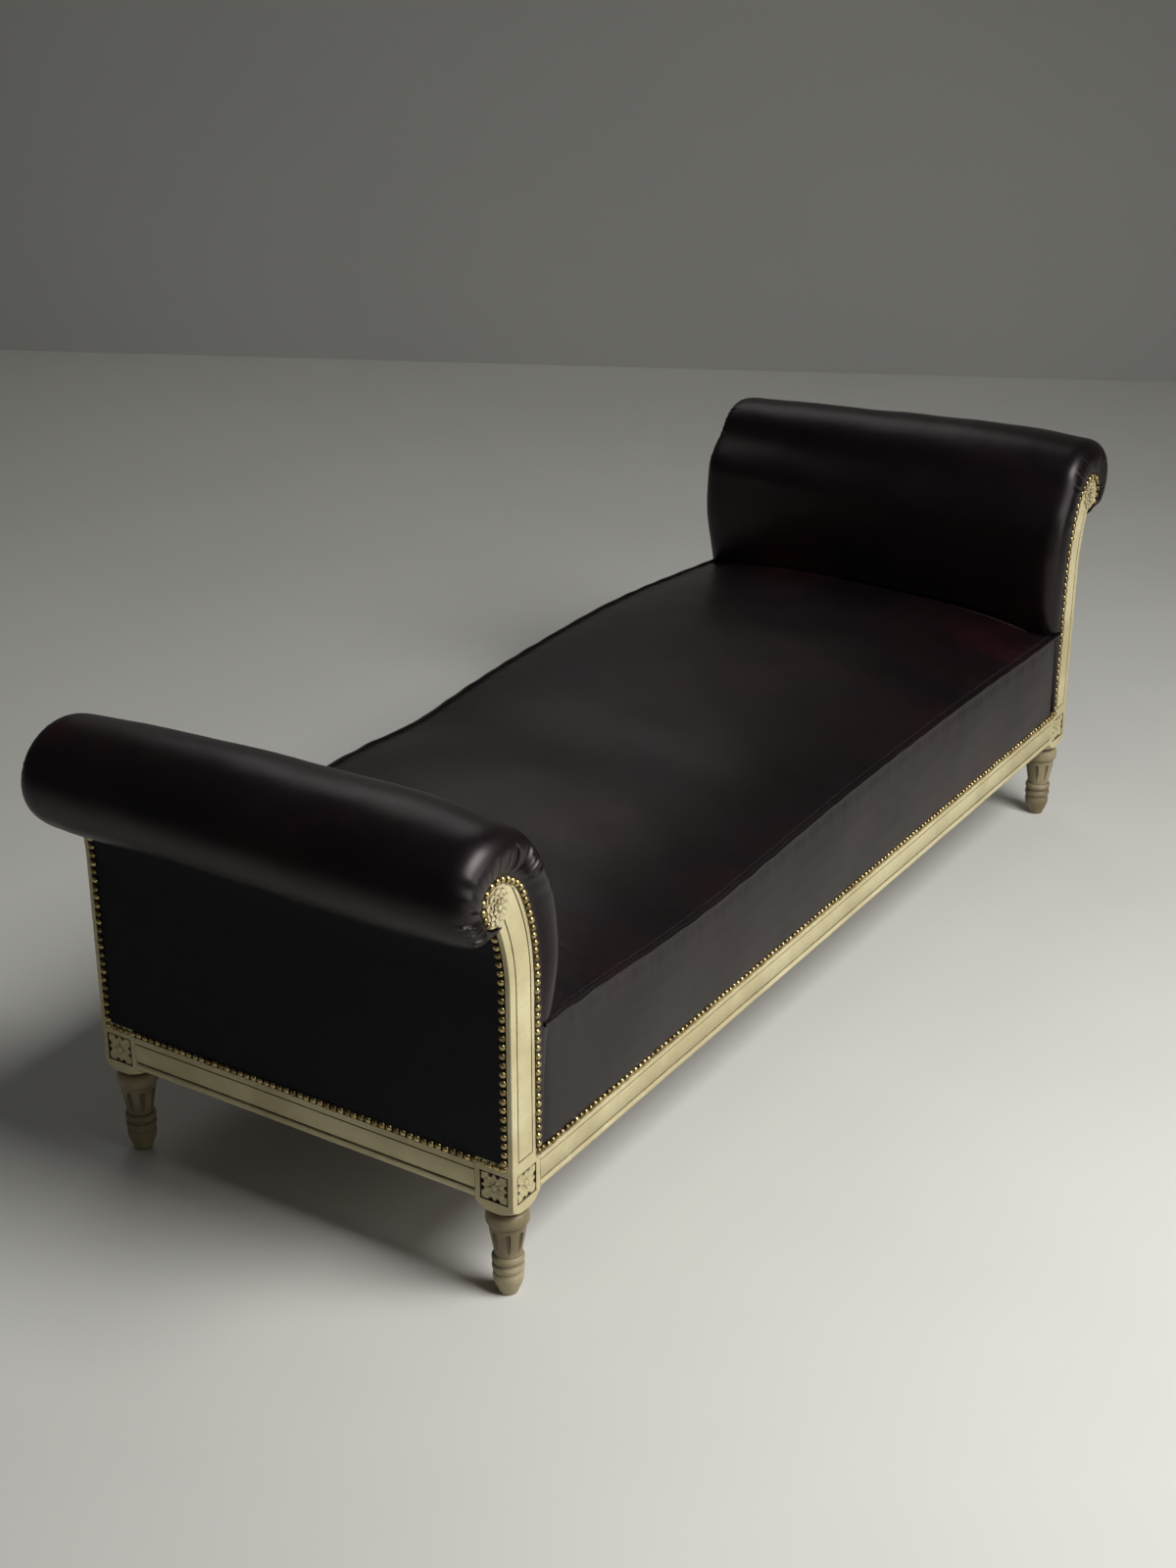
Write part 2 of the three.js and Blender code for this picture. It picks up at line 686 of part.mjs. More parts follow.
// One section across an end as points in X and Z. spread is 0 at the nailed edge on the post and 1 past
// the rounded shoulder; inset draws the leather's side in; open moves the hidden side out past the skin.
function endSection({ spread, crown }, inset, open) {
  const face = endFaceShares.map(([rise, out]) => {
    const z = rise === 0 ? endFootZ + inset - open : lerp(endFootZ, scrollZ, rise);
    const curved = Math.sqrt(curveRadius ** 2 - Math.max(z - curveZ, 0) ** 2);
    const nailed = curveX + curved + nailedEdge;
    const full = seatSideX + endFaceReach * out + endBulge * crown * rise;
    return v2(lerp(nailed, Math.max(full, nailed), spread) - inset, z);
  });
  const roll = rollTurns.map((degrees) => {
    const stretch = 1 + rollStretchShare * (1 - smoothstep(degrees, 0, rollStretchTurn));
    const nailed = scrollReachAt(degrees) + nailedEdge;
    const full = (rollRadius + rollCrown * crown) * stretch;
    return aboutScroll(lerp(nailed, full, spread) - inset, degrees);
  });
  const hiddenX = seatSideX - stuffingBack - open;
  const hidden = [v2(hiddenX, scrollZ - rollRadius - open), v2(hiddenX, endFootZ + inset - open)];
  return [...face, ...roll, ...hidden];
}

// A whole end as a closed solid; lead is how far it stands before the posts' faces
function endSolid(inset, lead, open = 0) {
  const half = -frontY;
  const front = shoulderShares.map((share) => ({
    y: lerp(-half - lead, -half + shoulderDepth, share),
    spread: Math.sqrt(1 - (1 - share) ** 2),
    crown: share * shoulderCrownShare,
  }));
  front.push({ y: -half / 2, spread: 1, crown: quarterCrownShare });
  const back = front.map((place) => ({ ...place, y: -place.y })).reverse();
  const places = [...front, { y: 0, spread: 1, crown: 1 }, ...back];
  const rings = places.map((place) => endSection(place, inset, open).map((p) => v3(p.x, place.y, p.y)));
  return loft(rings, (p) => v2(p.x, p.z));
}

// Both posts with room round them, and the painted faces that the leather leaves free
function postRooms() {
  const outline = postOutline(railFoot, -seatGap, even(-seatGap), -seatGap);
  const room = throughY(outline, frontY - seatGap, frontY + postDepth + seatGap);
  return [room, throughY(outline, -frontY - postDepth - seatGap, -frontY + seatGap)];
}

function paintedFaces() {
  const inset = (course) => {
    const { degrees, reach } = scrollEdge(course);
    if (degrees > leatherTurn) return -cutOverrun;
    return Math.min(leatherLap, reach - flowerRadius - flowerMargin);
  };
  const outline = postOutline(railFoot, leatherLap, inset, -cutOverrun);
  const reach = -frontY + cutOverrun;
  return [throughY(outline, -reach, frontY), throughY(outline, -frontY, reach)];
}

function endLeather() {
  const inside = endSolid(leatherThickness, seatGap, cutOverrun);
  return geometryOf(without(solidOf(endSolid(0, skinDepth)), inside, ...postRooms(), ...paintedFaces()));
}

function endStuffing() {
  const half = -frontY - postDepth;
  const crestRoom = throughY(crestSection(crestInset - seatGap), -half - cutOverrun, half + cutOverrun);
  return geometryOf(without(solidOf(endSolid(skinDepth, 0)), ...postRooms(), crestRoom));
}

// The room that both ends take, for what is cut to meet them
const endRoom = endSolid(-seatGap, skinDepth + seatGap);
const endRooms = [endRoom, facingOut(endRoom.clone().scale(-1, 1, 1))];

function outerLeather() {
  const top = scrollZ - rollRadius + outerLeatherTuck;
  const turn = radToDeg(Math.asin((top - curveZ) / outerCurveRadius));
  const outline = [
    v2(outerX, leatherEdge + seatGap),
    v2(outerX + leatherThickness, leatherEdge + seatGap),
    ...curvePoints(outerCurveRadius + leatherThickness, turn),
    ...curvePoints(outerCurveRadius, turn).reverse(),
  ];
  const half = -frontY - paintedEdge - seatGap;
  return geometryOf(without(solidOf(throughY(outline, -half, half)), ...endRooms));
}

// Seat

const seamZ = (x) => slabFoot + slabThickness + seamRise * (1 - (x / seatHalf) ** 2);

function seatTopZ(x, y) {
  const across = 1 - Math.abs(y / frontY) ** seatCrownPower;
  const along = lerp(1, endCrownShare, (x / seatHalf) ** endCrownPower);
  return seamZ(x) + seatCrown * across * along;
}

// How far the border stands out at a share of its height
function bulgeAt(share, x) {
  const upper = Math.max(borderShares.findIndex(([height]) => height >= share), 1);
  const [z0, out0] = borderShares[upper - 1];
  const [z1, out1] = borderShares[upper];
  return borderBulge * mapLinear(share, z0, z1, out0, out1) * (1 - (x / seatHalf) ** bulgePower);
}

const frontLanes = (half) => spread(half, seatLanes).filter((y) => y <= 0);
const spread = (half, count) => range(count + 1).map((i) => lerp(-half, half, i / count));
const fromSide = (p) => v2(p.y, p.z);

// A front half through its rings, joined to the same half mirrored, so that both sides are alike
function mirroredHalf(rings) {
  const front = loft(rings, fromSide);
  return joined(front, facingOut(front.clone().scale(1, -1, 1)));
}


function seatLeather() {
  const half = -frontY - skinDepth;
  const rings = spread(seatHalf, seatColumns).map((x) => {
    const upper = frontLanes(half).map((y) => v3(x, y, seatTopZ(x, y)));
    const lower = upper.map((p) => v3(p.x, p.y, p.z - leatherThickness)).reverse();
    return [...upper, ...lower];
  });
  return geometryOf(without(mirroredHalf(rings), ...endRooms));
}

function seatStuffing() {
  const half = -frontY - skinDepth;
  const rings = spread(seatHalf, seatColumns).map((x) => {
    const footShare = (slabFoot - leatherEdge) / (seamZ(x) - leatherEdge);
    const shares = [footShare, ...borderShares.map(([share]) => share).filter((share) => share > footShare)];
    const side = shares.map((share) => v3(x, -half - bulgeAt(share, x), lerp(leatherEdge, seamZ(x), share)));
    const top = frontLanes(half).map((y) => v3(x, y, seatTopZ(x, y) - skinDepth));
    return [v3(x, 0, slabFoot), ...side, ...top].reverse();
  });
  return geometryOf(without(mirroredHalf(rings), ...endRooms));
}

// The stitched edge of first stuffing along the front, between the rail and the hessian
function edgeRoll() {
  const outer = frontY + skinDepth;
  const inner = outer + edgeRollWidth;
  const z0 = railTop + seatGap;
  const z1 = hessianFoot - seatGap;
  const outline = [
    v2(outer, z0),
    v2(inner, z0),
    v2(inner, z1 - edgeRollRound),
    v2(inner - edgeRollRound * roundShare, z1 - edgeRollRound * roundShare),
    v2(inner - edgeRollRound, z1),
    v2(outer, z1),
  ];
  return geometryOf(without(solidOf(throughX(outline, -seatHalf, seatHalf)), ...endRooms));
}

function hessian() {
  const half = -frontY - skinDepth - hessianMargin;
  const sheet = box(-seatHalf, seatHalf, -half, half, hessianFoot, hessianFoot + hessianThickness);
  return geometryOf(without(solidOf(sheet), ...endRooms));
}

// The leather border along the front, with the welt of the seam along its top
function border() {
  const foot = leatherEdge + seatGap;
  const shares = borderShares.map(([share]) => share);
  const rings = spread(seatHalf, seatColumns).map((x) => {
    const seam = seamZ(x);
    const at = (share, depth) => v3(x, frontY - bulgeAt(share, x) + depth, lerp(foot, seam, share));
    const inner = shares.map((share) => at(share, leatherThickness));
    const welt = weltTurns.map((degrees) => {
      const angle = degToRad(degrees);
      const reach = weltRadius * weltReachShare;
      return v3(x, frontY + reach * Math.cos(angle), seam + weltRadius * Math.sin(angle));
    });
    const outer = shares.map((share) => at(share, 0));
    return [...outer, ...welt.reverse(), ...inner.reverse()];
  });
  return geometryOf(without(solidOf(loft(rings, fromSide)), ...endRooms));
}

// The assembly

const daybed = new THREE.Group();

function place(name, geometry, material, turnX = 1, turnY = 1) {
  const mesh = new THREE.Mesh(geometry, material);
  mesh.name = name;
  mesh.scale.set(turnX, turnY, 1);
  daybed.add(mesh);
  return mesh;
}

const ends = [["left", 1], ["right", -1]];
const sides = [["front", 1], ["back", -1]];
const postShape = post();
const legShape = leg();
const braceShape = cornerBrace();
for (const [end, turnX] of ends) {
  for (const [side, turnY] of sides) {
    place(`post_${side}_${end}`, postShape, paint, turnX, turnY);
    place(`leg_${side}_${end}`, legShape, paint, turnX, turnY).position.set(legX * turnX, legY * turnY, 0);
    place(`corner_brace_${side}_${end}`, braceShape, beech, turnX, turnY);
  }
}

const sidePieces = [
  ["rail", longRail(), paint],
  ["edge_roll", edgeRoll(), horsehair],
  ["border", border(), plumLeather],
];
for (const [side, turnY] of sides) {
  for (const [name, geometry, material] of sidePieces) place(`${name}_${side}`, geometry, material, 1, turnY);
}

const endPieces = [
  ["end_rail", endRail(), paint],
  ["crest_rail", crestRail(), beech],
  ["tack_rail", tackRail(), beech],
  ["roll_stuffing", endStuffing(), horsehair],
  ["roll_leather", endLeather(), plumLeather],
  ["outer_leather", outerLeather(), slateLeather],
  ["stretcher", stretcher(), beech],
];
for (const [end, turnX] of ends) {
  for (const [name, geometry, material] of endPieces) place(`${name}_${end}`, geometry, material, turnX);
}

place("webbing", webbing(), jute);
place("hessian", hessian(), jute);
place("seat_stuffing", seatStuffing(), horsehair);
place("seat_leather", seatLeather(), plumLeather);

const springShape = spring();
springRows.forEach((row, rowIndex) => {
  for (let column = 0; column < springColumns; column += 1) {
    const mesh = place(`spring_${row}_${column + 1}`, springShape, steel);
    mesh.position.set(springX(column), springY(rowIndex), springFoot);
  }
});
console.log(`least gap between a spring's turns: ${springClearance().toFixed(1)} mm`);

export default daybed;
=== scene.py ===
"""A two-ended upholstered daybed in the Louis XVI manner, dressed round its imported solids.

Metres, +Z up. X runs along the daybed, -Y is the front and Z is 0 on the floor.
"""
import json
import logging
import math
from collections.abc import Callable, Iterable, Iterator, Sequence
from contextlib import contextmanager
from dataclasses import dataclass
from enum import Enum

import bmesh
import bpy
import numpy as np
from mathutils import Matrix, Vector

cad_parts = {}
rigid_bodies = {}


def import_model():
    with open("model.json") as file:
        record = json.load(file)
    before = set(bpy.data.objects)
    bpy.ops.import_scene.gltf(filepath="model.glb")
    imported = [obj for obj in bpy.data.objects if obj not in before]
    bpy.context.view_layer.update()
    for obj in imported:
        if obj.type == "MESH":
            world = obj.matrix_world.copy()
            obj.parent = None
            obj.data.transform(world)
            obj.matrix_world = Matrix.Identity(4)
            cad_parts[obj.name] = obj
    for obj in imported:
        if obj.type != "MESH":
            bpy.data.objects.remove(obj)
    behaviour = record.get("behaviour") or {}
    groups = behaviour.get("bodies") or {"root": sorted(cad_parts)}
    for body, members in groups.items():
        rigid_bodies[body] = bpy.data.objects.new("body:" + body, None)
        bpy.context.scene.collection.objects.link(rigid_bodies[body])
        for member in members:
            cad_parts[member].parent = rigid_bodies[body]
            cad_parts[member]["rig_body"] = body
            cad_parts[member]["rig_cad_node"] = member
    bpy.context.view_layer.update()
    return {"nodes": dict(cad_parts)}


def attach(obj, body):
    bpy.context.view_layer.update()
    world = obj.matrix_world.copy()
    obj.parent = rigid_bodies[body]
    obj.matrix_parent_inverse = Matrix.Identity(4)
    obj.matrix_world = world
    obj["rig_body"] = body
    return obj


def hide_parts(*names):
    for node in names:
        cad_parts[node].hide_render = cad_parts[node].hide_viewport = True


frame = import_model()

log = logging.getLogger("daybed")
Points = np.ndarray
Row = tuple[float, ...]
Pair = tuple[float, float]
Triple = tuple[float, float, float]
Axes = tuple[float | Points, float | Points, float | Points]
Socket = bpy.types.NodeSocket
Piece = bpy.types.Object


# Shared sizes and lines

@dataclass(frozen=True)
class Sizes:
    """Sizes and places that several sub-assemblies share."""

    outer_x: float = -0.8685
    seat_side_x: float = -0.8075
    front_y: float = -0.3375
    post_depth: float = 0.046
    block_depth: float = 0.058
    leg_height: float = 0.134
    rail_foot: float = 0.147
    leather_edge: float = 0.199
    rail_top: float = 0.210
    curve_x: float = -1.1175
    curve_z: float = 0.454
    curve_radius: float = 0.310
    outer_radius: float = 0.249
    scroll_x: float = -0.8932
    scroll_z: float = 0.584
    scroll_radius: float = 0.027
    slab_foot: float = 0.2968
    seat_half: float = 0.8045
    leather: float = 0.0017

    @property
    def leg_axis(self) -> Vector:
        """The axis of the front left leg, on the floor."""
        half = self.block_depth / 2
        return Vector((self.outer_x + half, self.front_y + half, 0))


S = Sizes()


class Turn(Enum):
    """The four corners, as the signs of X and Y that mirror the front left one to them."""

    FRONT_LEFT = (1, 1)
    FRONT_RIGHT = (-1, 1)
    BACK_LEFT = (1, -1)
    BACK_RIGHT = (-1, -1)

    @property
    def label(self) -> str:
        """The name that the solids give this corner."""
        return self.name.lower()


# Each side with the sign of Y, and each end with the sign of X, that mirrors the front left corner to it
SIDES = (("front", 1), ("back", -1))
ENDS = (("left", 1), ("right", -1))


def course(points: Points, at: Points) -> Points:
    """Places along an even Catmull-Rom course through points.

    Args:
        points: Control points along the first axis.
        at: Places from 0 to 1.

    Returns:
        One interpolated point for each place.
    """
    last = len(points) - 1
    place = np.clip(at, 0, 1) * last
    i = np.minimum(place.astype(int), last - 1)
    w = (place - i).reshape((-1,) + (1,) * (points.ndim - 1))
    before, a = points[np.maximum(i - 1, 0)], points[i]
    b, after = points[i + 1], points[np.minimum(i + 2, last)]
    va, vb = (b - before) / 2, (after - a) / 2
    return (2 * a - 2 * b + va + vb) * w**3 + (-3 * a + 3 * b - 2 * va - vb) * w**2 + va * w + a


def smooth_step(x: Points, low: float, high: float) -> Points:
    """A soft step from 0 at low to 1 at high."""
    t = np.clip((x - low) / (high - low), 0, 1)
    return t * t * (3 - 2 * t)


def hump(x: Points, middle: float, width: float) -> Points:
    """A soft ridge of height 1 round a middle."""
    return np.exp(-(((x - middle) / width) ** 2))


def unit_ways(degrees: Points) -> Points:
    """Unit directions in X and Z."""
    turn = np.radians(degrees)
    return np.stack([np.cos(turn), np.sin(turn)], -1)


@dataclass(frozen=True)
class Unevenness:
    """Slow seeded waves that keep handwork from looking machined.

    Args:
        seed: Which waves are drawn.
        length: Typical wavelength.
        depth: Height of the waves.
        count: How many waves are added up.
    """

    seed: int
    length: float
    depth: float
    count: int = 14

    def at(self, *axes: Points) -> Points:
        """The waves' height at places given by their coordinates."""
        draw = np.random.default_rng(self.seed)
        total = np.zeros(np.broadcast(*axes).shape)
        for _ in range(self.count):
            way = draw.normal(size=len(axes))
            way *= 2 * math.pi / (self.length * draw.uniform(0.7, 1.6) * np.linalg.norm(way))
            total += np.sin(sum(k * a for k, a in zip(way, axes)) + draw.uniform(0, 2 * math.pi))
        return self.depth * total / math.sqrt(self.count)


class ScrollLine:
    """The post's edge from its foot, round the scroll and down its outer side."""

    # Degrees round the scroll's centre and the edge's distance in scroll radii
    shares = ((5, 2.04), (18, 1.8), (32, 1.6), (50, 1.49), (75, 1.43), (105, 1.41), (145, 1.39),
              (168, 1.31), (193, 1.15), (218, 1.05), (248, 1), (277, 1))
    samples, bends, turns = 400, 20, 56

    def __init__(self) -> None:
        """Samples the scroll's edge."""
        edge = course(np.array(self.shares, float), np.linspace(0, 1, self.samples))
        self.degrees, self.reach = edge[:, 0], edge[:, 1] * S.scroll_radius

    def reach_at(self, degrees: Points) -> Points:
        """The edge's distance from the scroll's centre in a direction."""
        return np.interp(degrees, self.degrees, self.reach)

    def about(self, reach: Points, degrees: Points) -> Points:
        """Points in X and Z round the scroll's centre."""
        return np.asarray(reach)[..., None] * unit_ways(degrees) + (S.scroll_x, S.scroll_z)

    def bend(self, radius: float, degrees: Points) -> Points:
        """Points in X and Z on an arc about the centre of the post's curve."""
        return radius * unit_ways(degrees) + (S.curve_x, S.curve_z)

    def turn_of(self, place: int) -> float:
        """The degree of the post's curve where the scroll's edge starts or ends."""
        x, z = self.about(self.reach[place], self.degrees[place])
        return math.degrees(math.atan2(z - S.curve_z, x - S.curve_x))

    def outline(self, foot: float, inset: float) -> Points:
        """The closed outline of a post.

        Args:
            foot: The height that it starts at.
            inset: How far it is drawn in.

        Returns:
            Its corners in X and Z.
        """
        seat = np.linspace(0, self.turn_of(0) - 1, self.bends)
        outer = np.linspace(self.turn_of(-1) - 1, 0, self.bends)
        round_ = np.linspace(self.degrees[0], self.degrees[-1], self.turns)
        return np.vstack([
            [[S.outer_x + inset, foot], [S.seat_side_x - inset, foot]],
            self.bend(S.curve_radius - inset, seat),
            self.about(self.reach_at(round_) - inset, round_),
            self.bend(S.outer_radius + inset, outer),
        ])


LINE = ScrollLine()


# Modelling by hand

class Plane(Enum):
    """The plane that an outline is drawn in, as its two axes and the one it is drawn out along."""

    XZ = (0, 2, 1)
    YZ = (1, 2, 0)

    def points(self, outline: Points, level: float) -> Points:
        """The outline as points in space at a level of the third axis."""
        placed = np.full((len(outline), 3), float(level))
        placed[:, self.value[0]], placed[:, self.value[1]] = outline[:, 0], outline[:, 1]
        return placed

    def way(self, length: float) -> Vector:
        """A move along the third axis."""
        move = Vector((0, 0, 0))
        move[self.value[2]] = length
        return move


def pick(*pieces: Piece) -> Piece:
    """Selects pieces alone, the last one active, and returns it."""
    bpy.ops.object.select_all(action="DESELECT")
    for piece in pieces:
        piece.select_set(True)
    bpy.context.view_layer.objects.active = pieces[-1]
    return pieces[-1]


def named(name: str) -> Piece:
    """Names the primitive that was just added."""
    piece = bpy.context.view_layer.objects.active
    piece.name = piece.data.name = name
    return pick(piece)


@contextmanager
def editing(piece: Piece) -> Iterator[None]:
    """Opens a piece in edit mode with everything selected."""
    pick(piece)
    bpy.ops.object.mode_set(mode="EDIT")
    bpy.ops.mesh.select_mode(type="VERT")
    bpy.ops.mesh.select_all(action="SELECT")
    yield
    bpy.ops.object.mode_set(mode="OBJECT")


def choose(piece: Piece, test: Callable[[bmesh.types.BMEdge], bool]) -> None:
    """Selects the edges that pass a test.

    Args:
        piece: The piece that is open in edit mode.
        test: Whether an edge is taken.
    """
    bpy.ops.mesh.select_mode(type="EDGE")
    bpy.ops.mesh.select_all(action="DESELECT")
    mesh = bmesh.from_edit_mesh(piece.data)
    for edge in mesh.edges:
        edge.select_set(bool(test(edge)))
    mesh.select_flush_mode()
    bmesh.update_edit_mesh(piece.data)


def added(name: str, data: bpy.types.ID) -> Piece:
    """Adds an object that shows a mesh, a curve, a camera or a light."""
    shown = bpy.data.objects.new(name, data)
    bpy.context.scene.collection.objects.link(shown)
    return shown


def vertices(piece: Piece) -> Points:
    """The piece's vertices."""
    flat = np.empty(len(piece.data.vertices) * 3)
    piece.data.vertices.foreach_get("co", flat)
    return flat.reshape(-1, 3)


def move_to(piece: Piece, places: Points) -> Piece:
    """Puts every vertex at its new place."""
    piece.data.vertices.foreach_set("co", np.ascontiguousarray(places, float).ravel())
    piece.data.update()
    return piece


def settle(piece: Piece) -> Piece:
    """Puts the piece's place into its mesh."""
    pick(piece)
    bpy.ops.object.transform_apply(location=True, rotation=True, scale=True)
    return piece


def modify(piece: Piece, kind: str, **settings: object) -> Piece:
    """Adds one modifier and applies it.

    Args:
        piece: What takes it.
        kind: Blender's name of the modifier.
        settings: Its settings by name.

    Returns:
        The piece.
    """
    pick(piece)
    modifier = piece.modifiers.new(kind.title(), kind)
    for key, value in settings.items():
        setattr(modifier, key, value)
    bpy.ops.object.modifier_apply(modifier=modifier.name)
    return piece


def cut(piece: Piece, cutter: Piece, how: str = "DIFFERENCE") -> Piece:
    """Cuts a piece by another, or keeps what both share, and takes the other away.

    Args:
        piece: What is cut.
        cutter: The other.
        how: DIFFERENCE or INTERSECT.

    Returns:
        The piece.
    """
    modify(piece, "BOOLEAN", object=cutter, operation=how, solver="EXACT")
    bpy.data.objects.remove(cutter)
    return piece


def joined(name: str, *pieces: Piece) -> Piece:
    """Joins pieces into one that takes a name."""
    pick(*pieces)
    bpy.ops.object.join()
    return named(name)


def plate(name: str, outline: Points, plane: Plane, near: float, far: float) -> Piece:
    """An outline filled and drawn out along its plane's third axis.

    Args:
        name: The piece's name.
        outline: Its corners in the plane.
        plane: The plane.
        near: Where it starts along the third axis.
        far: Where it ends.

    Returns:
        The closed plate.
    """
    bpy.ops.mesh.primitive_circle_add(vertices=len(outline), fill_type="NGON")
    piece = move_to(named(name), plane.points(outline, near))
    with editing(piece):
        bpy.ops.mesh.extrude_region_move(TRANSFORM_OT_translate={"value": plane.way(far - near)})
        bpy.ops.mesh.select_all(action="SELECT")
        bpy.ops.mesh.normals_make_consistent(inside=False)
    return settle(piece)


def turned(name: str, profile: Sequence[Sequence[float]], steps: int, place: Vector = Vector()) -> Piece:
    """A profile of radius and height, spun about a vertical axis.

    Args:
        name: The piece's name.
        profile: Radius and height of each point, from one end of the axis to the other.
        steps: Faces round the axis.
        place: Where the axis stands.

    Returns:
        The closed piece.
    """
    bpy.ops.mesh.primitive_plane_add(size=1)
    piece = named(name)
    with editing(piece):
        bpy.ops.mesh.merge(type="CENTER")
        bpy.ops.transform.translate(value=(profile[0][0], 0, profile[0][1]))
        for (r0, z0), (r1, z1) in zip(profile, profile[1:]):
            bpy.ops.mesh.extrude_region_move(TRANSFORM_OT_translate={"value": (r1 - r0, 0, z1 - z0)})
        bpy.ops.mesh.select_all(action="SELECT")
        bpy.ops.mesh.spin(steps=steps, angle=2 * math.pi, center=(0, 0, 0), axis=(0, 0, 1))
        bpy.ops.mesh.select_all(action="SELECT")
        bpy.ops.mesh.remove_doubles(threshold=1e-6)
        bpy.ops.mesh.normals_make_consistent(inside=False)
        bpy.ops.transform.translate(value=place)
    return settle(piece)


def skin(name: str, columns: int, rows: int, shape: Callable[[Points, Points], Points]) -> Piece:
    """A grid drawn over a surface.

    Args:
        name: The piece's name.
        columns: Faces along the surface's first course.
        rows: Faces along its second course.
        shape: Gives points in space for places from 0 to 1 along both courses.

    Returns:
        The open surface.
    """
    bpy.ops.mesh.primitive_grid_add(x_subdivisions=columns, y_subdivisions=rows, size=1)
    piece = named(name)
    flat = vertices(piece) + 0.5
    return move_to(piece, shape(flat[:, 0], flat[:, 1]))


def tube(name: str, path: Points, radius: float | Points, sides: int = 8) -> Piece:
    """A round rod along a path.

    Args:
        name: The piece's name.
        path: The points of its middle line.
        radius: Its radius, or one for each point.
        sides: Faces round it.

    Returns:
        The closed rod.
    """
    data = bpy.data.curves.new(name, "CURVE")
    data.dimensions, data.bevel_depth = "3D", 1
    data.bevel_resolution = max(sides // 2 - 2, 0)
    data.use_fill_caps = True
    spline = data.splines.new("POLY")
    spline.points.add(len(path) - 1)
    radii = np.broadcast_to(radius, len(path))
    for point, place, r in zip(spline.points, path, radii):
        point.co, point.radius = (*place, 1), r
    pick(added(name, data))
    bpy.ops.object.convert(target="MESH")
    return tidy(named(name))


def tidy(piece: Piece, merge: float = 1e-6, filled: bool = False) -> Piece:
    """Merges doubled vertices, fills any holes on request and turns the faces outwards.

    Args:
        piece: The piece.
        merge: How near vertices are merged.
        filled: Whether holes are filled.

    Returns:
        The piece.
    """
    with editing(piece):
        bpy.ops.mesh.remove_doubles(threshold=merge)
        if filled:
            bpy.ops.mesh.fill_holes(sides=0)
            bpy.ops.mesh.select_all(action="SELECT")
        bpy.ops.mesh.normals_make_consistent(inside=False)
    return outward(piece) if filled else piece


def outward(piece: Piece) -> Piece:
    """Turns a closed piece's faces outwards where its volume comes out negative."""
    mesh = bmesh.new()
    mesh.from_mesh(piece.data)
    if mesh.calc_volume(signed=True) < 0:
        piece.data.flip_normals()
    mesh.free()
    return piece


def lofted(name: str, rings: Points) -> Piece:
    """A closed body through rings of points, filled at its first and last ring.

    Args:
        name: The piece's name.
        rings: The rings, all of as many points.

    Returns:
        The body.
    """
    rows, count = len(rings) - 1, len(rings[0])
    piece = skin(name, count, rows,
                 lambda u, v: rings[np.rint(v * rows).astype(int), np.rint(u * count).astype(int) % count])
    return modify(tidy(piece, 1e-7, True), "TRIANGULATE")


def facing(piece: Piece, way: Triple) -> Piece:
    """Turns an open skin so that its middle face looks along a direction."""
    tidy(piece, 1e-9)
    if piece.data.polygons[len(piece.data.polygons) // 2].normal.dot(Vector(way)) < 0:
        piece.data.flip_normals()
    return piece


def thick(piece: Piece, thickness: float = S.leather) -> Piece:
    """Gives an open skin its thickness under its outer side."""
    return soften(modify(piece, "SOLIDIFY", thickness=thickness, offset=-1, use_rim=True), 60)


def soften(piece: Piece, degrees: float = 35) -> Piece:
    """Shades smoothly over edges flatter than an angle."""
    pick(piece)
    bpy.ops.object.shade_smooth_by_angle(angle=math.radians(degrees))
    return piece


def flipped(piece: Piece, name: str, turn_x: int, turn_y: int) -> Piece:
    """A copy with its own mesh, mirrored to another end or side.

    Args:
        piece: What is copied.
        name: The copy's name.
        turn_x: -1 for the right end.
        turn_y: -1 for the back.

    Returns:
        The copy.
    """
    pick(piece)
    bpy.ops.object.duplicate(linked=False)
    copy = named(name)
    if turn_x * turn_y < 0 or turn_x < 0:
        copy.scale = (turn_x, turn_y, 1)
        outward(settle(copy))
    return copy


def repeated(name: str, pattern: Piece, places: Iterable[Matrix], seed: int) -> Piece:
    """One mesh of many copies of a pattern, each with its own tone from 0 to 1.

    Args:
        name: The new piece's name.
        pattern: What is copied; it is taken away.
        places: Where each copy stands.
        seed: Which tones are drawn.

    Returns:
        The piece that holds all copies.
    """
    shape = np.hstack([vertices(pattern), np.ones((len(pattern.data.vertices), 1))])
    loops = [np.array(face.vertices) for face in pattern.data.polygons]
    spots = [np.array(place) for place in places]
    cloud = np.vstack([(shape @ spot.T)[:, :3] for spot in spots])
    mesh = bpy.data.meshes.new(name)
    faces = [(loop + i * len(shape)).tolist() for i in range(len(spots)) for loop in loops]
    mesh.from_pydata(cloud.tolist(), [], faces)
    tones = np.repeat(np.random.default_rng(seed).random(len(spots)), len(shape))
    mesh.attributes.new("tone", "FLOAT", "POINT").data.foreach_set("value", tones)
    mesh.polygons.foreach_set("use_smooth", [True] * len(faces))
    bpy.data.objects.remove(pattern)
    return added(name, mesh)


def solid_copy(node: str) -> Piece:
    """A merged copy of a solid with its own mesh."""
    copy = frame["nodes"][node].copy()
    copy.data = copy.data.copy()
    copy.parent = None
    copy.hide_viewport = copy.hide_render = False
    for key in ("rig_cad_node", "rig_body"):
        copy.pop(key, None)
    bpy.context.scene.collection.objects.link(copy)
    return tidy(copy)


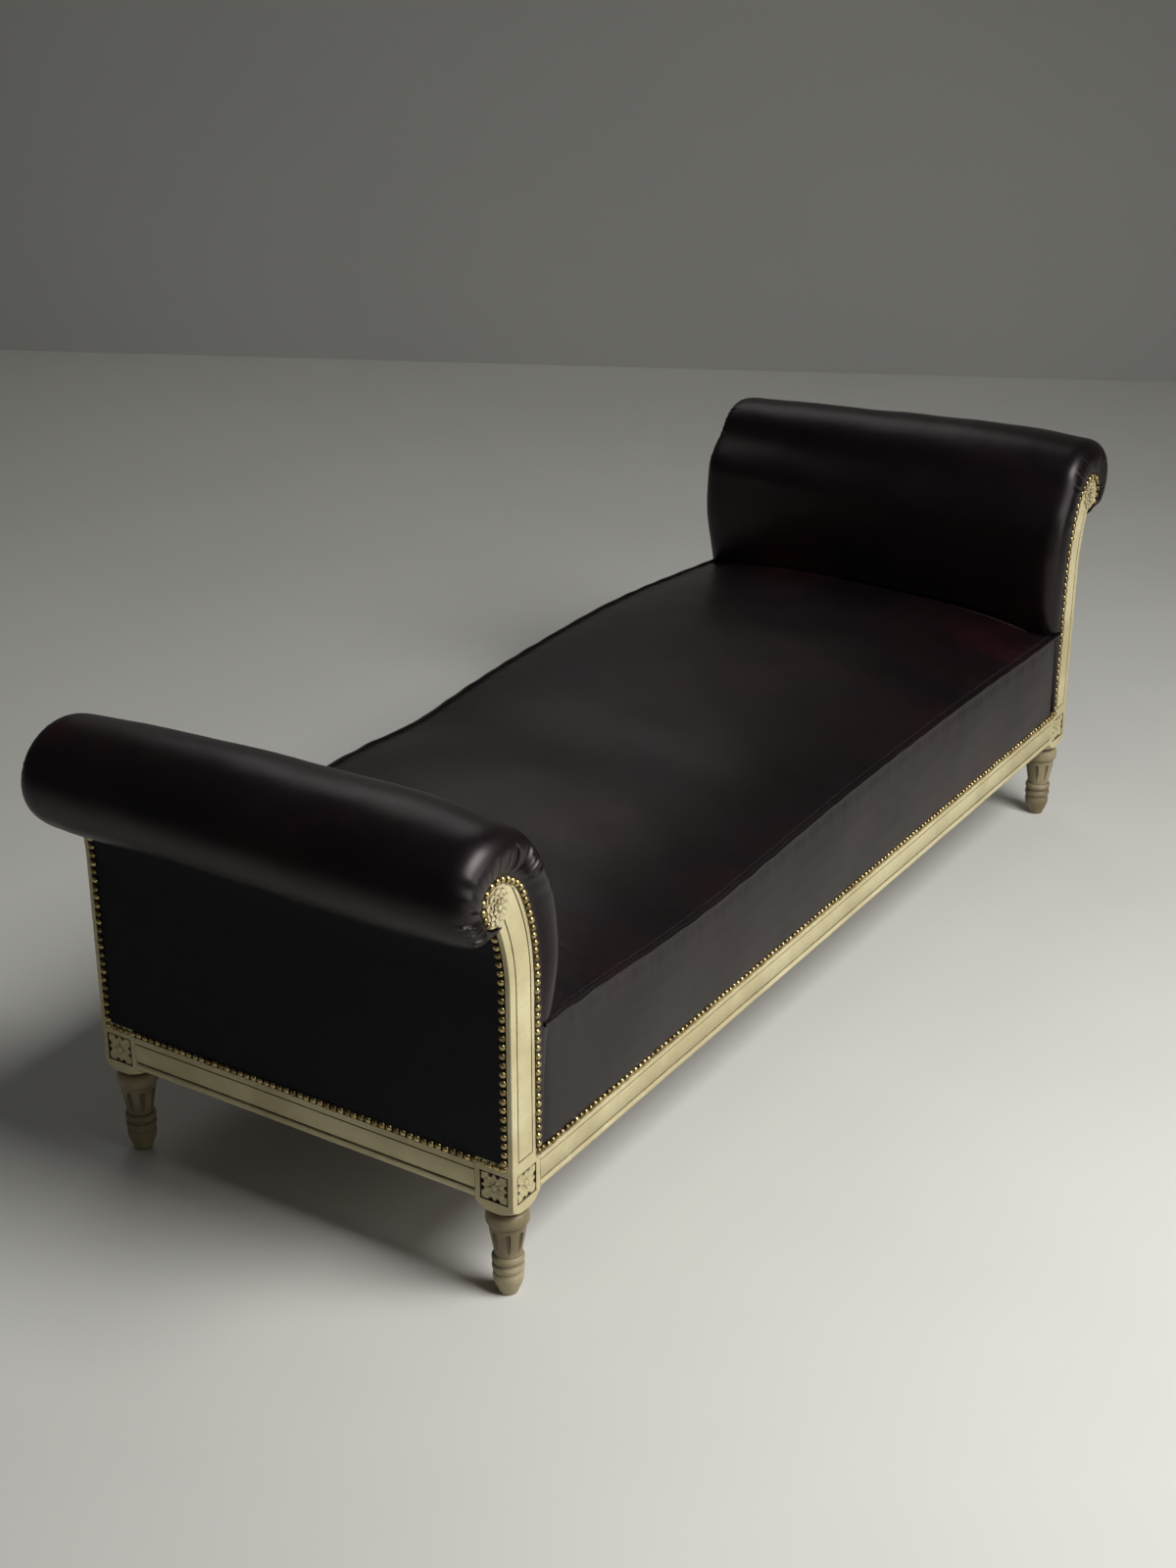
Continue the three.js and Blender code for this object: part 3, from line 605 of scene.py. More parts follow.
def finish(piece: Piece, material: bpy.types.Material, slot: str, *nodes: str) -> None:
    """Dresses a piece, puts it on the daybed and lets it stand for solids.

    Args:
        piece: The finished piece.
        material: Its finish.
        slot: The record's slot for that finish; not used.
        nodes: The solids that it stands for.
    """
    piece.data.materials.clear()
    piece.data.materials.append(material)
    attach(piece, "root")
    if nodes:
        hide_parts(*nodes)
    log.info("%s: %d faces", piece.name, len(piece.data.polygons))


# Finishes

Colour = tuple[float, ...]
Value = float | Colour | Socket


def srgb(red: int, green: int, blue: int) -> Colour:
    """A colour as seen on a screen, in 0 to 255, as the linear colour that a shader reads."""
    def linear(c: float) -> float:
        """One channel in linear light."""
        return c / 12.92 if c <= 0.04045 else ((c + 0.055) / 1.055) ** 2.4
    return (*(linear(c / 255) for c in (red, green, blue)), 1)


class Tree:
    """Adds nodes to one node tree and joins them."""

    def __init__(self, tree: bpy.types.NodeTree) -> None:
        """Takes the tree that is filled."""
        self.tree = tree

    def add(self, kind: str, settings: dict[str, object] | None = None, **inputs: Value) -> bpy.types.Node:
        """A new node with its settings and inputs.

        Args:
            kind: Blender's name of the node.
            settings: Its own settings by name.
            inputs: What its inputs take, named as join reads them.

        Returns:
            The node.
        """
        node = self.tree.nodes.new(kind)
        for key, value in (settings or {}).items():
            setattr(node, key, value)
        return self.join(node, **inputs)

    def join(self, node: bpy.types.Node, **inputs: Value) -> bpy.types.Node:
        """Sets or links inputs, by name with _ for a space, or by i and their number."""
        for key, value in inputs.items():
            known = key[1:].isdigit() and key[0] == "i"
            socket = node.inputs[int(key[1:])] if known else node.inputs[key.replace("_", " ")]
            if isinstance(value, Socket):
                self.tree.links.new(value, socket)
            else:
                socket.default_value = value
        return node

    def math(self, how: str, a: Value, b: Value = 0, c: Value = 0) -> Socket:
        """The result of one sum."""
        return self.add("ShaderNodeMath", {"operation": how}, i0=a, i1=b, i2=c).outputs[0]

    def ramp(self, value: Value, low: float, high: float, to_low: float = 0,
             to_high: float = 1) -> Socket:
        """A soft step of a value between two levels."""
        node = self.add("ShaderNodeMapRange", {"interpolation_type": "SMOOTHSTEP"}, Value=value,
                        From_Min=low, From_Max=high, To_Min=to_low, To_Max=to_high)
        return node.outputs[0]

    def mix(self, share: Value, a: Value, b: Value) -> Socket:
        """Two colours mixed by a share."""
        return self.add("ShaderNodeMix", {"data_type": "RGBA"}, i0=share, i6=a, i7=b).outputs[2]

    def noise(self, at: Socket, scale: float, detail: float = 3, rough: float = 0.55,
              bend: float = 0) -> Socket:
        """Cloudy noise from 0 to 1."""
        node = self.add("ShaderNodeTexNoise", Vector=at, Scale=scale, Detail=detail, Roughness=rough,
                        Distortion=bend)
        return node.outputs["Fac"]

    def cells(self, at: Socket, scale: float, feature: str = "F1") -> Socket:
        """The distance from the middles or the edges of scattered cells."""
        node = self.add("ShaderNodeTexVoronoi", {"feature": feature}, Vector=at, Scale=scale)
        return node.outputs["Distance"]

    def place(self, scale: Triple = (1, 1, 1)) -> Socket:
        """The piece's own coordinates, scaled."""
        own = self.add("ShaderNodeTexCoord").outputs["Object"]
        return self.add("ShaderNodeMapping", Vector=own, Scale=scale).outputs[0]

    def bump(self, height: Socket, strength: float, depth: float) -> Socket:
        """A normal raised by a height in metres times a depth."""
        return self.add("ShaderNodeBump", Height=height, Strength=strength, Distance=depth).outputs[0]


class Effects:
    """Node groups that more than one finish uses, each built once."""

    made: dict[str, bpy.types.NodeTree] = {}

    @classmethod
    def group(cls, name: str, inputs: dict[str, float], outputs: Sequence[str],
              fill: Callable[[Tree, dict[str, Socket]], dict[str, Socket]]) -> bpy.types.NodeTree:
        """A node group of numbers.

        Args:
            name: Its name.
            inputs: Its inputs and their first values.
            outputs: Its outputs.
            fill: Adds its nodes, and gives a socket for each output.

        Returns:
            The group, the same one each time.
        """
        if name not in cls.made:
            tree = bpy.data.node_groups.new(name, "ShaderNodeTree")
            for label, value in inputs.items():
                socket = tree.interface.new_socket(label, in_out="INPUT", socket_type="NodeSocketFloat")
                socket.default_value = value
            for label in outputs:
                tree.interface.new_socket(label, in_out="OUTPUT", socket_type="NodeSocketFloat")
            entry, leave = tree.nodes.new("NodeGroupInput"), tree.nodes.new("NodeGroupOutput")
            results = fill(Tree(tree), {label: entry.outputs[label] for label in inputs})
            for label, socket in results.items():
                tree.links.new(socket, leave.inputs[label])
            cls.made[name] = tree
        return cls.made[name]

    @classmethod
    def use(cls, tree: Tree, group: bpy.types.NodeTree, **inputs: Value) -> dict[str, Socket]:
        """Places a group in a finish and returns its outputs by name."""
        node = tree.add("ShaderNodeGroup", {"node_tree": group}, **inputs)
        return {socket.name: socket for socket in node.outputs}

    @classmethod
    def edges(cls) -> bpy.types.NodeTree:
        """Rubbed outer edges, and hollows that hold dirt."""
        def fill(t: Tree, ins: dict[str, Socket]) -> dict[str, Socket]:
            """Compares the rounded normal with the true one, and looks for nearby walls."""
            true = t.add("ShaderNodeNewGeometry").outputs["Normal"]
            rounded = t.add("ShaderNodeBevel", {"samples": 4}, Radius=ins["Width"]).outputs[0]
            likeness = t.add("ShaderNodeVectorMath", {"operation": "DOT_PRODUCT"}, i0=true, i1=rounded)
            open_ = t.add("ShaderNodeAmbientOcclusion", {"samples": 6, "only_local": True},
                          Distance=ins["Reach"]).outputs["AO"]
            turned_away = t.ramp(likeness.outputs["Value"], 0.995, 0.93)
            worn = t.math("MULTIPLY", turned_away, t.ramp(open_, 0.75, 0.95))
            patch = t.ramp(t.noise(t.place(), 90, 4), 0.42, 0.6)
            return {"Worn": t.math("MULTIPLY", worn, patch), "Hollow": t.ramp(open_, 0.95, 0.58)}
        return cls.group("edge_wear", {"Width": 0.0012, "Reach": 0.008}, ("Worn", "Hollow"), fill)

    @classmethod
    def hide(cls) -> bpy.types.NodeTree:
        """The grain and the fine creases of leather."""
        def fill(t: Tree, ins: dict[str, Socket]) -> dict[str, Socket]:
            """Pores from small cells, and creases from the edges of large bent ones."""
            at = t.place()
            pores = t.cells(at, 1100)
            drift = t.add("ShaderNodeTexNoise", Vector=at, Scale=14, Detail=3).outputs["Color"]
            bent = t.add("ShaderNodeVectorMath", {"operation": "MULTIPLY_ADD"}, i0=drift,
                         i1=(0.05, 0.05, 0.05), i2=at).outputs[0]
            creases = t.ramp(t.cells(bent, 26, "DISTANCE_TO_EDGE"), 0, 0.035)
            fine = t.ramp(t.cells(bent, 95, "DISTANCE_TO_EDGE"), 0, 0.09)
            some = t.ramp(t.noise(at, 5, 2), 0.45, 0.62)
            lines = t.math("MULTIPLY", t.math("SUBTRACT", 1, creases), some)
            height = t.math("MULTIPLY", lines, t.math("MULTIPLY", ins["Creases"], -1))
            height = t.math("MULTIPLY_ADD", fine, t.math("MULTIPLY", some, 0.12), height)
            return {"Height": t.math("MULTIPLY_ADD", pores, 0.18, height), "Lines": lines}
        return cls.group("hide_grain", {"Creases": 0.5}, ("Height", "Lines"), fill)


class Finish:
    """A material with one shader, built by its subclass."""

    def build(self) -> bpy.types.Material:
        """Makes the material and returns it."""
        material = bpy.data.materials.new(type(self).__name__)
        material.use_nodes = True
        tree = Tree(material.node_tree)
        self.fill(tree, material.node_tree.nodes["Principled BSDF"])
        return material

    def fill(self, t: Tree, shader: bpy.types.Node) -> None:
        """Joins the finish's nodes to the shader."""
        raise NotImplementedError


@dataclass(frozen=True)
class AgedPaint(Finish):
    """Old ivory paint with brush marks, rubbed edges and brown patina in its hollows."""

    paint: Colour = srgb(204, 193, 152)
    shade: Colour = srgb(182, 169, 127)
    patina: Colour = srgb(74, 56, 32)
    wood: Colour = srgb(140, 112, 72)
    reach: float = 0.012

    def fill(self, t: Tree, shader: bpy.types.Node) -> None:
        """Layers the paint, its dirt and its wear."""
        at = t.place()
        edges = Effects.use(t, Effects.edges(), Width=0.0013, Reach=self.reach)
        clouds = t.ramp(t.noise(at, 9, 4), 0.35, 0.68)
        colour = t.mix(clouds, self.paint, self.shade)
        streaks = t.noise(t.place((1, 6, 6)), 60, 4, 0.65)
        colour = t.mix(t.ramp(streaks, 0.5, 0.78, 0, 0.35), colour, self.shade)
        specks = t.ramp(t.noise(at, 420, 2), 0.66, 0.74, 0, 0.55)
        colour = t.mix(specks, colour, self.patina)
        hollow = t.math("MULTIPLY", edges["Hollow"], t.ramp(t.noise(at, 70, 3), 0.2, 0.6, 0.7, 1))
        colour = t.mix(hollow, colour, self.patina)
        colour = t.mix(t.math("MULTIPLY", edges["Worn"], 0.75), colour, self.wood)
        roughness = t.ramp(streaks, 0.3, 0.8, 0.42, 0.62)
        height = t.math("MULTIPLY_ADD", streaks, 0.6, t.math("MULTIPLY", t.noise(at, 300, 3), 0.3))
        height = t.math("SUBTRACT", height, t.math("MULTIPLY", edges["Worn"], 0.6))
        t.join(shader, Base_Color=colour, Roughness=roughness, Normal=t.bump(height, 0.5, 0.0006))


@dataclass(frozen=True)
class Hide(Finish):
    """Polished upholstery leather with pores, creases and rubbed patches."""

    colour: Colour = srgb(17, 8, 10)
    deep: Colour = srgb(8, 4, 5)
    rubbed: Colour = srgb(47, 15, 19)
    gloss: float = 0.36
    creases: float = 0.3
    shine: float = 0.34
    tint: Colour = (1, 0.9, 0.9, 1)

    def fill(self, t: Tree, shader: bpy.types.Node) -> None:
        """Layers the dye, the rubbed patches, painted shade along the creases and the grain."""
        at = t.place()
        grain = Effects.use(t, Effects.hide(), Creases=self.creases)
        clouds = t.ramp(t.noise(at, 4.5, 4, 0.6, 0.4), 0.3, 0.7)
        colour = t.mix(clouds, self.colour, self.deep)
        patches = t.ramp(t.noise(at, 2.6, 5, 0.58), 0.5, 0.72, 0, 0.5)
        colour = t.mix(patches, colour, self.rubbed)
        # Darkens the crease lines towards the deep colour: painted shade in the creases.
        colour = t.mix(t.math("MULTIPLY", grain["Lines"], 0.25), colour, self.deep)
        roughness = t.math("MULTIPLY_ADD", t.noise(at, 30, 4), 0.10, self.gloss - 0.05)
        t.join(shader, Base_Color=colour, Roughness=roughness, Specular_IOR_Level=self.shine,
               Specular_Tint=self.tint, Normal=t.bump(grain["Height"], 0.25, 0.0003))


@dataclass(frozen=True)
class AgedBrass(Finish):
    """Domed nail heads, each with its own tarnish."""

    bright: Colour = srgb(196, 174, 120)
    dull: Colour = srgb(138, 119, 76)
    bronze: Colour = srgb(46, 38, 24)

    def fill(self, t: Tree, shader: bpy.types.Node) -> None:
        """Mixes bright and tarnished metal by each head's tone."""
        tone = t.add("ShaderNodeAttribute", {"attribute_name": "tone"}).outputs["Fac"]
        edges = Effects.use(t, Effects.edges(), Width=0.001, Reach=0.004)
        colour = t.mix(t.ramp(tone, 0.35, 0.95), self.bright, self.dull)
        spots = t.ramp(t.noise(t.place(), 500, 3), 0.45, 0.65, 0, 0.5)
        colour = t.mix(t.math("MAXIMUM", spots, edges["Hollow"]), colour, self.bronze)
        roughness = t.math("MULTIPLY_ADD", tone, 0.12, 0.22)
        t.join(shader, Base_Color=colour, Roughness=roughness, Metallic=0.95,
               Normal=t.bump(t.noise(t.place(), 700, 2), 0.25, 0.0003))


@dataclass(frozen=True)
class Timber(Finish):
    """Unpainted beech with its short flecks."""

    pale: Colour = srgb(176, 139, 96)
    dark: Colour = srgb(132, 96, 60)
    along: Triple = (3, 40, 40)

    def fill(self, t: Tree, shader: bpy.types.Node) -> None:
        """Layers the grain and its flecks."""
        grain = t.noise(t.place(self.along), 6, 5, 0.6, 0.6)
        flecks = t.ramp(t.noise(t.place((30, 400, 400)), 2.5, 2), 0.6, 0.72, 0, 0.4)
        colour = t.mix(t.ramp(grain, 0.35, 0.7), self.pale, self.dark)
        colour = t.mix(flecks, colour, self.dark)
        t.join(shader, Base_Color=colour, Roughness=t.ramp(grain, 0.2, 0.8, 0.6, 0.8),
               Normal=t.bump(grain, 0.4, 0.0006))


@dataclass(frozen=True)
class Cloth(Finish):
    """Plain woven jute, from fine hessian to broad webbing."""

    thread: Colour = srgb(166, 138, 92)
    shadow: Colour = srgb(104, 80, 48)
    pitch: float = 0.0022
    depth: float = 0.0006

    def fill(self, t: Tree, shader: bpy.types.Node) -> None:
        """Draws both threads as waves along the piece's own axes, with painted shade in the gaps between them
        and darker slubs.
        """
        at = t.place()
        split = t.add("ShaderNodeSeparateXYZ", Vector=at)
        turns = [t.math("MULTIPLY", split.outputs[axis], math.pi / self.pitch) for axis in (0, 1)]
        weave = t.math("MULTIPLY", *(t.math("ABSOLUTE", t.math("SINE", turn)) for turn in turns))
        slubs = t.noise(at, 160, 4)
        # Darker where the threads dip and part: painted shade between the threads.
        colour = t.mix(t.ramp(weave, 0.05, 0.6), self.shadow, self.thread)
        colour = t.mix(t.ramp(slubs, 0.45, 0.7, 0, 0.5), colour, self.shadow)
        t.join(shader, Base_Color=colour, Roughness=t.ramp(slubs, 0.3, 0.7, 0.8, 0.95),
               Normal=t.bump(weave, 0.7, self.depth))


@dataclass(frozen=True)
class Horsehair(Finish):
    """Curled hair stuffing under a loose scrim."""

    hair: Colour = srgb(92, 72, 52)
    dark: Colour = srgb(40, 30, 22)

    def fill(self, t: Tree, shader: bpy.types.Node) -> None:
        """Tangles fine strands."""
        strands = t.ramp(t.noise(t.place(), 220, 5, 0.7, 3), 0.4, 0.6)
        t.join(shader, Base_Color=t.mix(strands, self.dark, self.hair),
               Roughness=t.ramp(strands, 0, 1, 0.95, 0.8), Normal=t.bump(strands, 0.8, 0.001))


@dataclass(frozen=True)
class Thread(Finish):
    """Dark waxed linen thread."""

    dark: Colour = srgb(30, 23, 22)
    worn: Colour = srgb(66, 54, 46)

    def fill(self, t: Tree, shader: bpy.types.Node) -> None:
        """Twists the strands and wears some stitches."""
        tone = t.add("ShaderNodeAttribute", {"attribute_name": "tone"}).outputs["Fac"]
        twist = t.noise(t.place((1, 3, 3)), 900, 2)
        t.join(shader, Base_Color=t.mix(t.ramp(tone, 0.5, 1, 0, 0.8), self.dark, self.worn),
               Roughness=t.ramp(twist, 0.3, 0.7, 0.5, 0.75), Normal=t.bump(twist, 0.4, 0.0002))


@dataclass(frozen=True)
class SpringSteel(Finish):
    """Drawn wire, dulled and spotted with rust."""

    steel: Colour = srgb(128, 124, 116)
    rust: Colour = srgb(106, 66, 40)

    def fill(self, t: Tree, shader: bpy.types.Node) -> None:
        """Spots the wire."""
        spots = t.ramp(t.noise(t.place(), 140, 4), 0.48, 0.66)
        t.join(shader, Base_Color=t.mix(spots, self.steel, self.rust),
               Metallic=t.ramp(spots, 0, 1, 0.9, 0.2), Roughness=t.ramp(spots, 0, 1, 0.35, 0.8),
               Normal=t.bump(spots, 0.3, 0.0003))


@dataclass(frozen=True)
class Ground(Finish):
    """The pale matt floor or the grey wall; a wall that is seen from behind lets the view through."""

    colour: Colour
    one_sided: bool = False

    def fill(self, t: Tree, shader: bpy.types.Node) -> None:
        """Clouds the colour very slightly."""
        clouds = t.ramp(t.noise(t.place(), 1.3, 4), 0.3, 0.7, 0, 0.06)
        t.join(shader, Base_Color=t.mix(clouds, self.colour, (0.2, 0.2, 0.2, 1)), Roughness=0.85)
        if self.one_sided:
            behind = t.add("ShaderNodeNewGeometry").outputs["Backfacing"]
            clear = t.add("ShaderNodeBsdfTransparent").outputs[0]
            both = t.add("ShaderNodeMixShader", i0=behind, i1=shader.outputs[0], i2=clear).outputs[0]
            leave = next(node for node in t.tree.nodes if node.type == "OUTPUT_MATERIAL")
            t.tree.links.new(both, leave.inputs["Surface"])


class Palette:
    """Every finish of the daybed, each built once."""

    def __init__(self) -> None:
        """Builds the finishes."""
        self.paint = AgedPaint().build()
        # The legs' paint is a darker copy of the posts': partly grime, partly painted shade for legs that
        # stand in shadow.
        self.leg_paint = AgedPaint(srgb(162, 150, 117), srgb(116, 102, 73), srgb(44, 32, 18),
                                   reach=0.018).build()
        self.thread = Thread().build()
        self.plum = Hide().build()
        self.slate = Hide(srgb(8, 9, 15), srgb(5, 6, 10), srgb(11, 11, 17), gloss=0.5, creases=0.2,
                          shine=0.12, tint=(0.9, 0.92, 1, 1)).build()
        self.brass = AgedBrass().build()
        self.beech = Timber().build()
        self.webbing = Cloth(pitch=0.0032).build()
        self.hessian = Cloth(srgb(150, 124, 84), srgb(84, 64, 40), 0.0016, 0.0005).build()
        self.hair = Horsehair().build()
        self.steel = SpringSteel().build()


# The studio

@dataclass
class Studio:
    """Camera, floor, wall and soft lights."""

    place: Triple = (-2.9685, -1.7885, 1.919)
    forward: Triple = (0.7639, 0.4880, -0.4221)
    right: Triple = (0.5382, -0.8425, 0.0)
    lens: float = 56.81
    sensor: float = 36.0
    wall_line: tuple[Pair, Pair] = ((2.126, 3.523), (3.660, 0.478))
    wall_reach: float = 14.0
    floor_reach: float = 30.0
    wall_height: float = 6.0
    sky: float = 0.05

    def build(self) -> None:
        """Makes everything that isn't part of the daybed."""
        self.camera()
        self.ground()
        self.lights()

    def camera(self) -> None:
        """Stands the camera where the photograph was taken."""
        data = bpy.data.cameras.new("camera")
        data.lens, data.sensor_width, data.clip_end = self.lens, self.sensor, 100
        camera = added("camera", data)
        forward = Vector(self.forward).normalized()
        right = Vector(self.right).normalized()
        turn = Matrix((right, right.cross(forward), -forward)).transposed().to_4x4()
        camera.matrix_world = Matrix.Translation(self.place) @ turn
        bpy.context.scene.camera = camera

    def ground(self) -> None:
        """Lays the floor and sets up the wall behind."""
        bpy.ops.mesh.primitive_plane_add(size=2 * self.floor_reach)
        floor = named("floor")
        floor.data.materials.append(Ground(srgb(203, 202, 195)).build())
        a, b = (Vector((*point, 0)) for point in self.wall_line)
        along = (b - a).normalized()
        ends = [a - along * self.wall_reach, b + along * self.wall_reach]
        bpy.ops.mesh.primitive_plane_add(size=1)
        wall = named("wall")
        move_to(wall, np.array([(*end.xy, z) for z in (0, self.wall_height) for end in ends]))
        wall.data.materials.append(Ground(srgb(173, 172, 167), one_sided=True).build())
        if wall.data.polygons[0].normal.dot(Vector(self.place) - a) < 0:
            wall.data.flip_normals()

    def lights(self) -> None:
        """Hangs a broad key light, a fill and an even sky."""
        self.lamp("key", (-0.35, -2.9, 3.4), (-0.5, -0.9, 0), 2.2, 84, 112)
        self.lamp("fill", (0.1, -3.8, 1.4), (-0.3, 0, 0.4), 1.8, 30)
        self.lamp("rim", (2.2, 2.0, 3.4), (0, 0, 0.4), 2.0, 14)
        world = bpy.data.worlds.new("studio")
        world.use_nodes = True
        sky = world.node_tree.nodes["Background"]
        sky.inputs["Color"].default_value = (1, 1, 1, 1)
        sky.inputs["Strength"].default_value = self.sky
        bpy.context.scene.world = world
        bpy.context.scene.view_settings.view_transform = "Standard"

    def lamp(self, name: str, place: Row, target: Row, size: float,
             power: float, spread: float = 180) -> None:
        """Hangs one square soft light.

        Args:
            name: Its name.
            place: Where it hangs.
            target: What it looks at.
            size: Its side.
            power: Its watts.
            spread: The degrees that it spreads over.
        """
        data = bpy.data.lights.new(name, "AREA")
        data.size, data.energy, data.spread = size, power, math.radians(spread)
        lamp = added(name, data)
        lamp.location = place
        lamp.rotation_euler = (Vector(target) - Vector(place)).to_track_quat("-Z", "Y").to_euler()


# Painted frame

@dataclass
class TurnedLeg:
    """A turned, tapered and fluted leg."""

    # Runs of radius and height from the seat down, each one smooth course, in millimetres
    runs: tuple[tuple[Pair, ...], ...] = (
        ((0, 133.7), (21, 133.7)),
        ((21, 133.7), (20.9, 130.5), (21.5, 128.2)),
        ((21.5, 128.2), (25, 126.6), (27.6, 122.6), (28.5, 117), (28.3, 112), (26.9, 108.6), (24.3, 107)),
        ((24.3, 107), (24, 105.6), (24, 98.5), (22.4, 88), (20, 74.5), (18.2, 64), (18, 60)),
        ((18, 60), (19.4, 59.2), (21, 56.8), (21.4, 54.2), (21, 51.6), (19.6, 49.4)),
        ((19.6, 49.4), (18.9, 48.4), (18.8, 47.2), (19.2, 46)),
        ((19.2, 46), (20.6, 44.6), (21.2, 41), (20.8, 38), (19.6, 36.4)),
        ((19.6, 36.4), (18.7, 34.6), (18.8, 33.2), (19.6, 31.6)),
        ((19.6, 31.6), (20.3, 28), (19.9, 23), (18.4, 17.4), (16.2, 11), (14.2, 6.4), (13.2, 3.2)),
        ((13.2, 3.2), (12.6, 1), (10.5, 0), (0, 0)),
    )
    run_steps: int = 2
    steps: int = 72
    flutes: int = 8
    flute_turn: float = 34.8
    flute_head: float = 96.5
    flute_reach: float = 24.9
    flute_tilt: float = 8.9
    flute_size: tuple[float, float, float, float] = (4.2, 3.9, 3.6, 36.0)

    def profile(self) -> list[Pair]:
        """The whole profile in metres."""
        line: list[Pair] = []
        for run in self.runs:
            count = (len(run) - 1) * self.run_steps + 1 if len(run) > 2 else 2
            places = np.maximum(course(np.array(run, float), np.linspace(0, 1, count)), 0) / 1000
            line += [tuple(p) for p in (places if not line else places[1:])]
        return line

    def cutter(self) -> Piece:
        """Drops with a round head and a long point, laid along the taper."""
        bpy.ops.mesh.primitive_uv_sphere_add(segments=16, ring_count=14, radius=1)
        drop = named("drop")
        deep, wide, head, tail = (s / 1000 for s in self.flute_size)
        places = vertices(drop)
        places *= np.stack([np.full(len(places), deep), np.full(len(places), wide),
                            np.where(places[:, 2] < 0, tail, head)], -1)
        move_to(drop, places)
        stand = (Matrix.Translation((self.flute_reach / 1000, 0, self.flute_head / 1000))
                 @ Matrix.Rotation(math.radians(self.flute_tilt), 4, "Y"))
        turns = [math.radians(self.flute_turn) + 2 * math.pi * i / self.flutes for i in range(self.flutes)]
        return repeated("flutes", drop, [Matrix.Rotation(a, 4, "Z") @ stand for a in turns], 0)

    def build(self) -> Piece:
        """Turns one leg under the front left corner."""
        leg = turned("leg_turned", self.profile(), self.steps)
        cut(leg, self.cutter())
        leg.location = S.leg_axis
        settle(leg)
        return soften(leg, 28)


@dataclass(frozen=True)
class Leaf:
    """One carved leaf or petal, cupped between its raised edges.

    Args:
        turn: Its direction in degrees.
        start: Where it starts.
        end: Where it ends.
        half: Half of its greatest width.
        top: Its height.
        lobes: How many lobes each edge has.
        swell: Above 1, the greatest width lies towards the tip.
    """

    turn: float
    start: float
    end: float
    half: float
    top: float
    lobes: int = 0
    swell: float = 1.5
    # What every leaf shares: how full it is, the rise of its floor, rim and tip, its midrib and its lobes
    fullness = 0.6
    floor, rim, tip = 0.6, 0.3, 0.22
    midrib, midrib_half = 0.3, 0.14
    lobe_start, lobe_out, lobe_rise, lobe_slant = 0.08, 0.16, 0.1, 0.45
    bevel_share = 0.2

    def height(self, x: Points, y: Points) -> Points:
        """The leaf's height above the ground.

        Args:
            x: Places across the carving.
            y: Places up it.

        Returns:
            The height, 0 outside the leaf.
        """
        a = math.radians(self.turn)
        along = (x * math.cos(a) + y * math.sin(a) - self.start) / (self.end - self.start)
        across = -x * math.sin(a) + y * math.cos(a)
        t = np.clip(along, 0, 1)
        half = self.half * np.sin(math.pi * t**self.swell).clip(0, 1) ** self.fullness
        if self.lobes:
            half = half * (1 + self.lobe_out * np.cos(2 * math.pi * self.lobes * (t - self.lobe_start)))
        side = np.abs(across) / np.maximum(half, 1e-6)
        cup = self.floor + self.rim * side**2 + self.tip * t
        cup = cup - self.midrib * hump(side, 0, self.midrib_half) * (1 - t)
        if self.lobes:
            wave = self.lobes * (t - self.lobe_start) - self.lobe_slant * side
            cup = cup + self.lobe_rise * np.cos(2 * math.pi * wave)
        inside = (along > 0) & (along < 1) & (side < 1)
        return np.where(inside, self.top * cup * smooth_step(1 - side, 0, self.bevel_share), 0)


@dataclass
class Carving:
    """A carved flower or fleuron as a relief over its ground, facing -Y at the origin."""

    radius: float
    leaves: list[Leaf]
    button: float
    button_top: float
    dome: float = 0
    square: bool = False
    button_step = 0.45

    def relief(self, x: Points, y: Points) -> Points:
        """The carving's height over its ground."""
        reach = np.hypot(x, y)
        height = np.zeros_like(x)
        for leaf in self.leaves:
            height = np.maximum(height, leaf.height(x, y))
        eye = np.sqrt(np.clip(1 - (reach / self.button) ** 2, 0, 1))
        button = self.button_step * (eye > 0) + (1 - self.button_step) * eye
        height = np.maximum(height, self.button_top * button)
        return height + self.dome * np.clip(1 - (reach / self.radius) ** 2, 0, 1)

    def build(self, name: str, fine: int = 64, back: float = 0.004) -> Piece:
        """Makes the relief, closed behind its ground.

        Args:
            name: The piece's name.
            fine: Faces across or round the carving.
            back: How far the closing side lies behind the ground.
        """
        def shape(u: Points, v: Points) -> Points:
            """A square field, or a round one as rings."""
            if self.square:
                x, z = (2 * u - 1) * self.radius, (2 * v - 1) * self.radius
            else:
                reach = self.radius * v
                x, z = reach * np.cos(2 * math.pi * u), reach * np.sin(2 * math.pi * u)
            return np.stack([x, -self.relief(x, z), z], -1)
        piece = tidy(skin(name, fine if self.square else 4 * fine, fine, shape))
        with editing(piece):
            choose(piece, lambda edge: edge.is_boundary)
            bpy.ops.mesh.extrude_region_move(TRANSFORM_OT_translate={"value": (0, back, 0)})
        return tidy(piece, filled=True)


def scroll_flower() -> Carving:
    """Three rings of cupped petals round a button."""
    petals = [Leaf(18 + 36 * i, 0.008, 0.0234, 0.0066, 0.0024) for i in range(10)]
    petals += [Leaf(36 * i, 0.0055, 0.0182, 0.0050, 0.0036) for i in range(10)]
    petals += [Leaf(12 + 45 * i, 0.003, 0.0122, 0.0040, 0.0047) for i in range(8)]
    return Carving(0.0235, petals, 0.0044, 0.0056, 0.0010)


def block_fleuron() -> Carving:
    """Four broad lobed leaves to the corners of a sunk square, and smaller ones between."""
    leaves = [Leaf(45 + 90 * i, 0.0025, 0.0266, 0.0082, 0.0024, 3, 1.1) for i in range(4)]
    leaves += [Leaf(90 * i, 0.0035, 0.0198, 0.0046, 0.0019, 0, 1.2) for i in range(4)]
    return Carving(0.0209, leaves, 0.0046, 0.0034, 0, True)


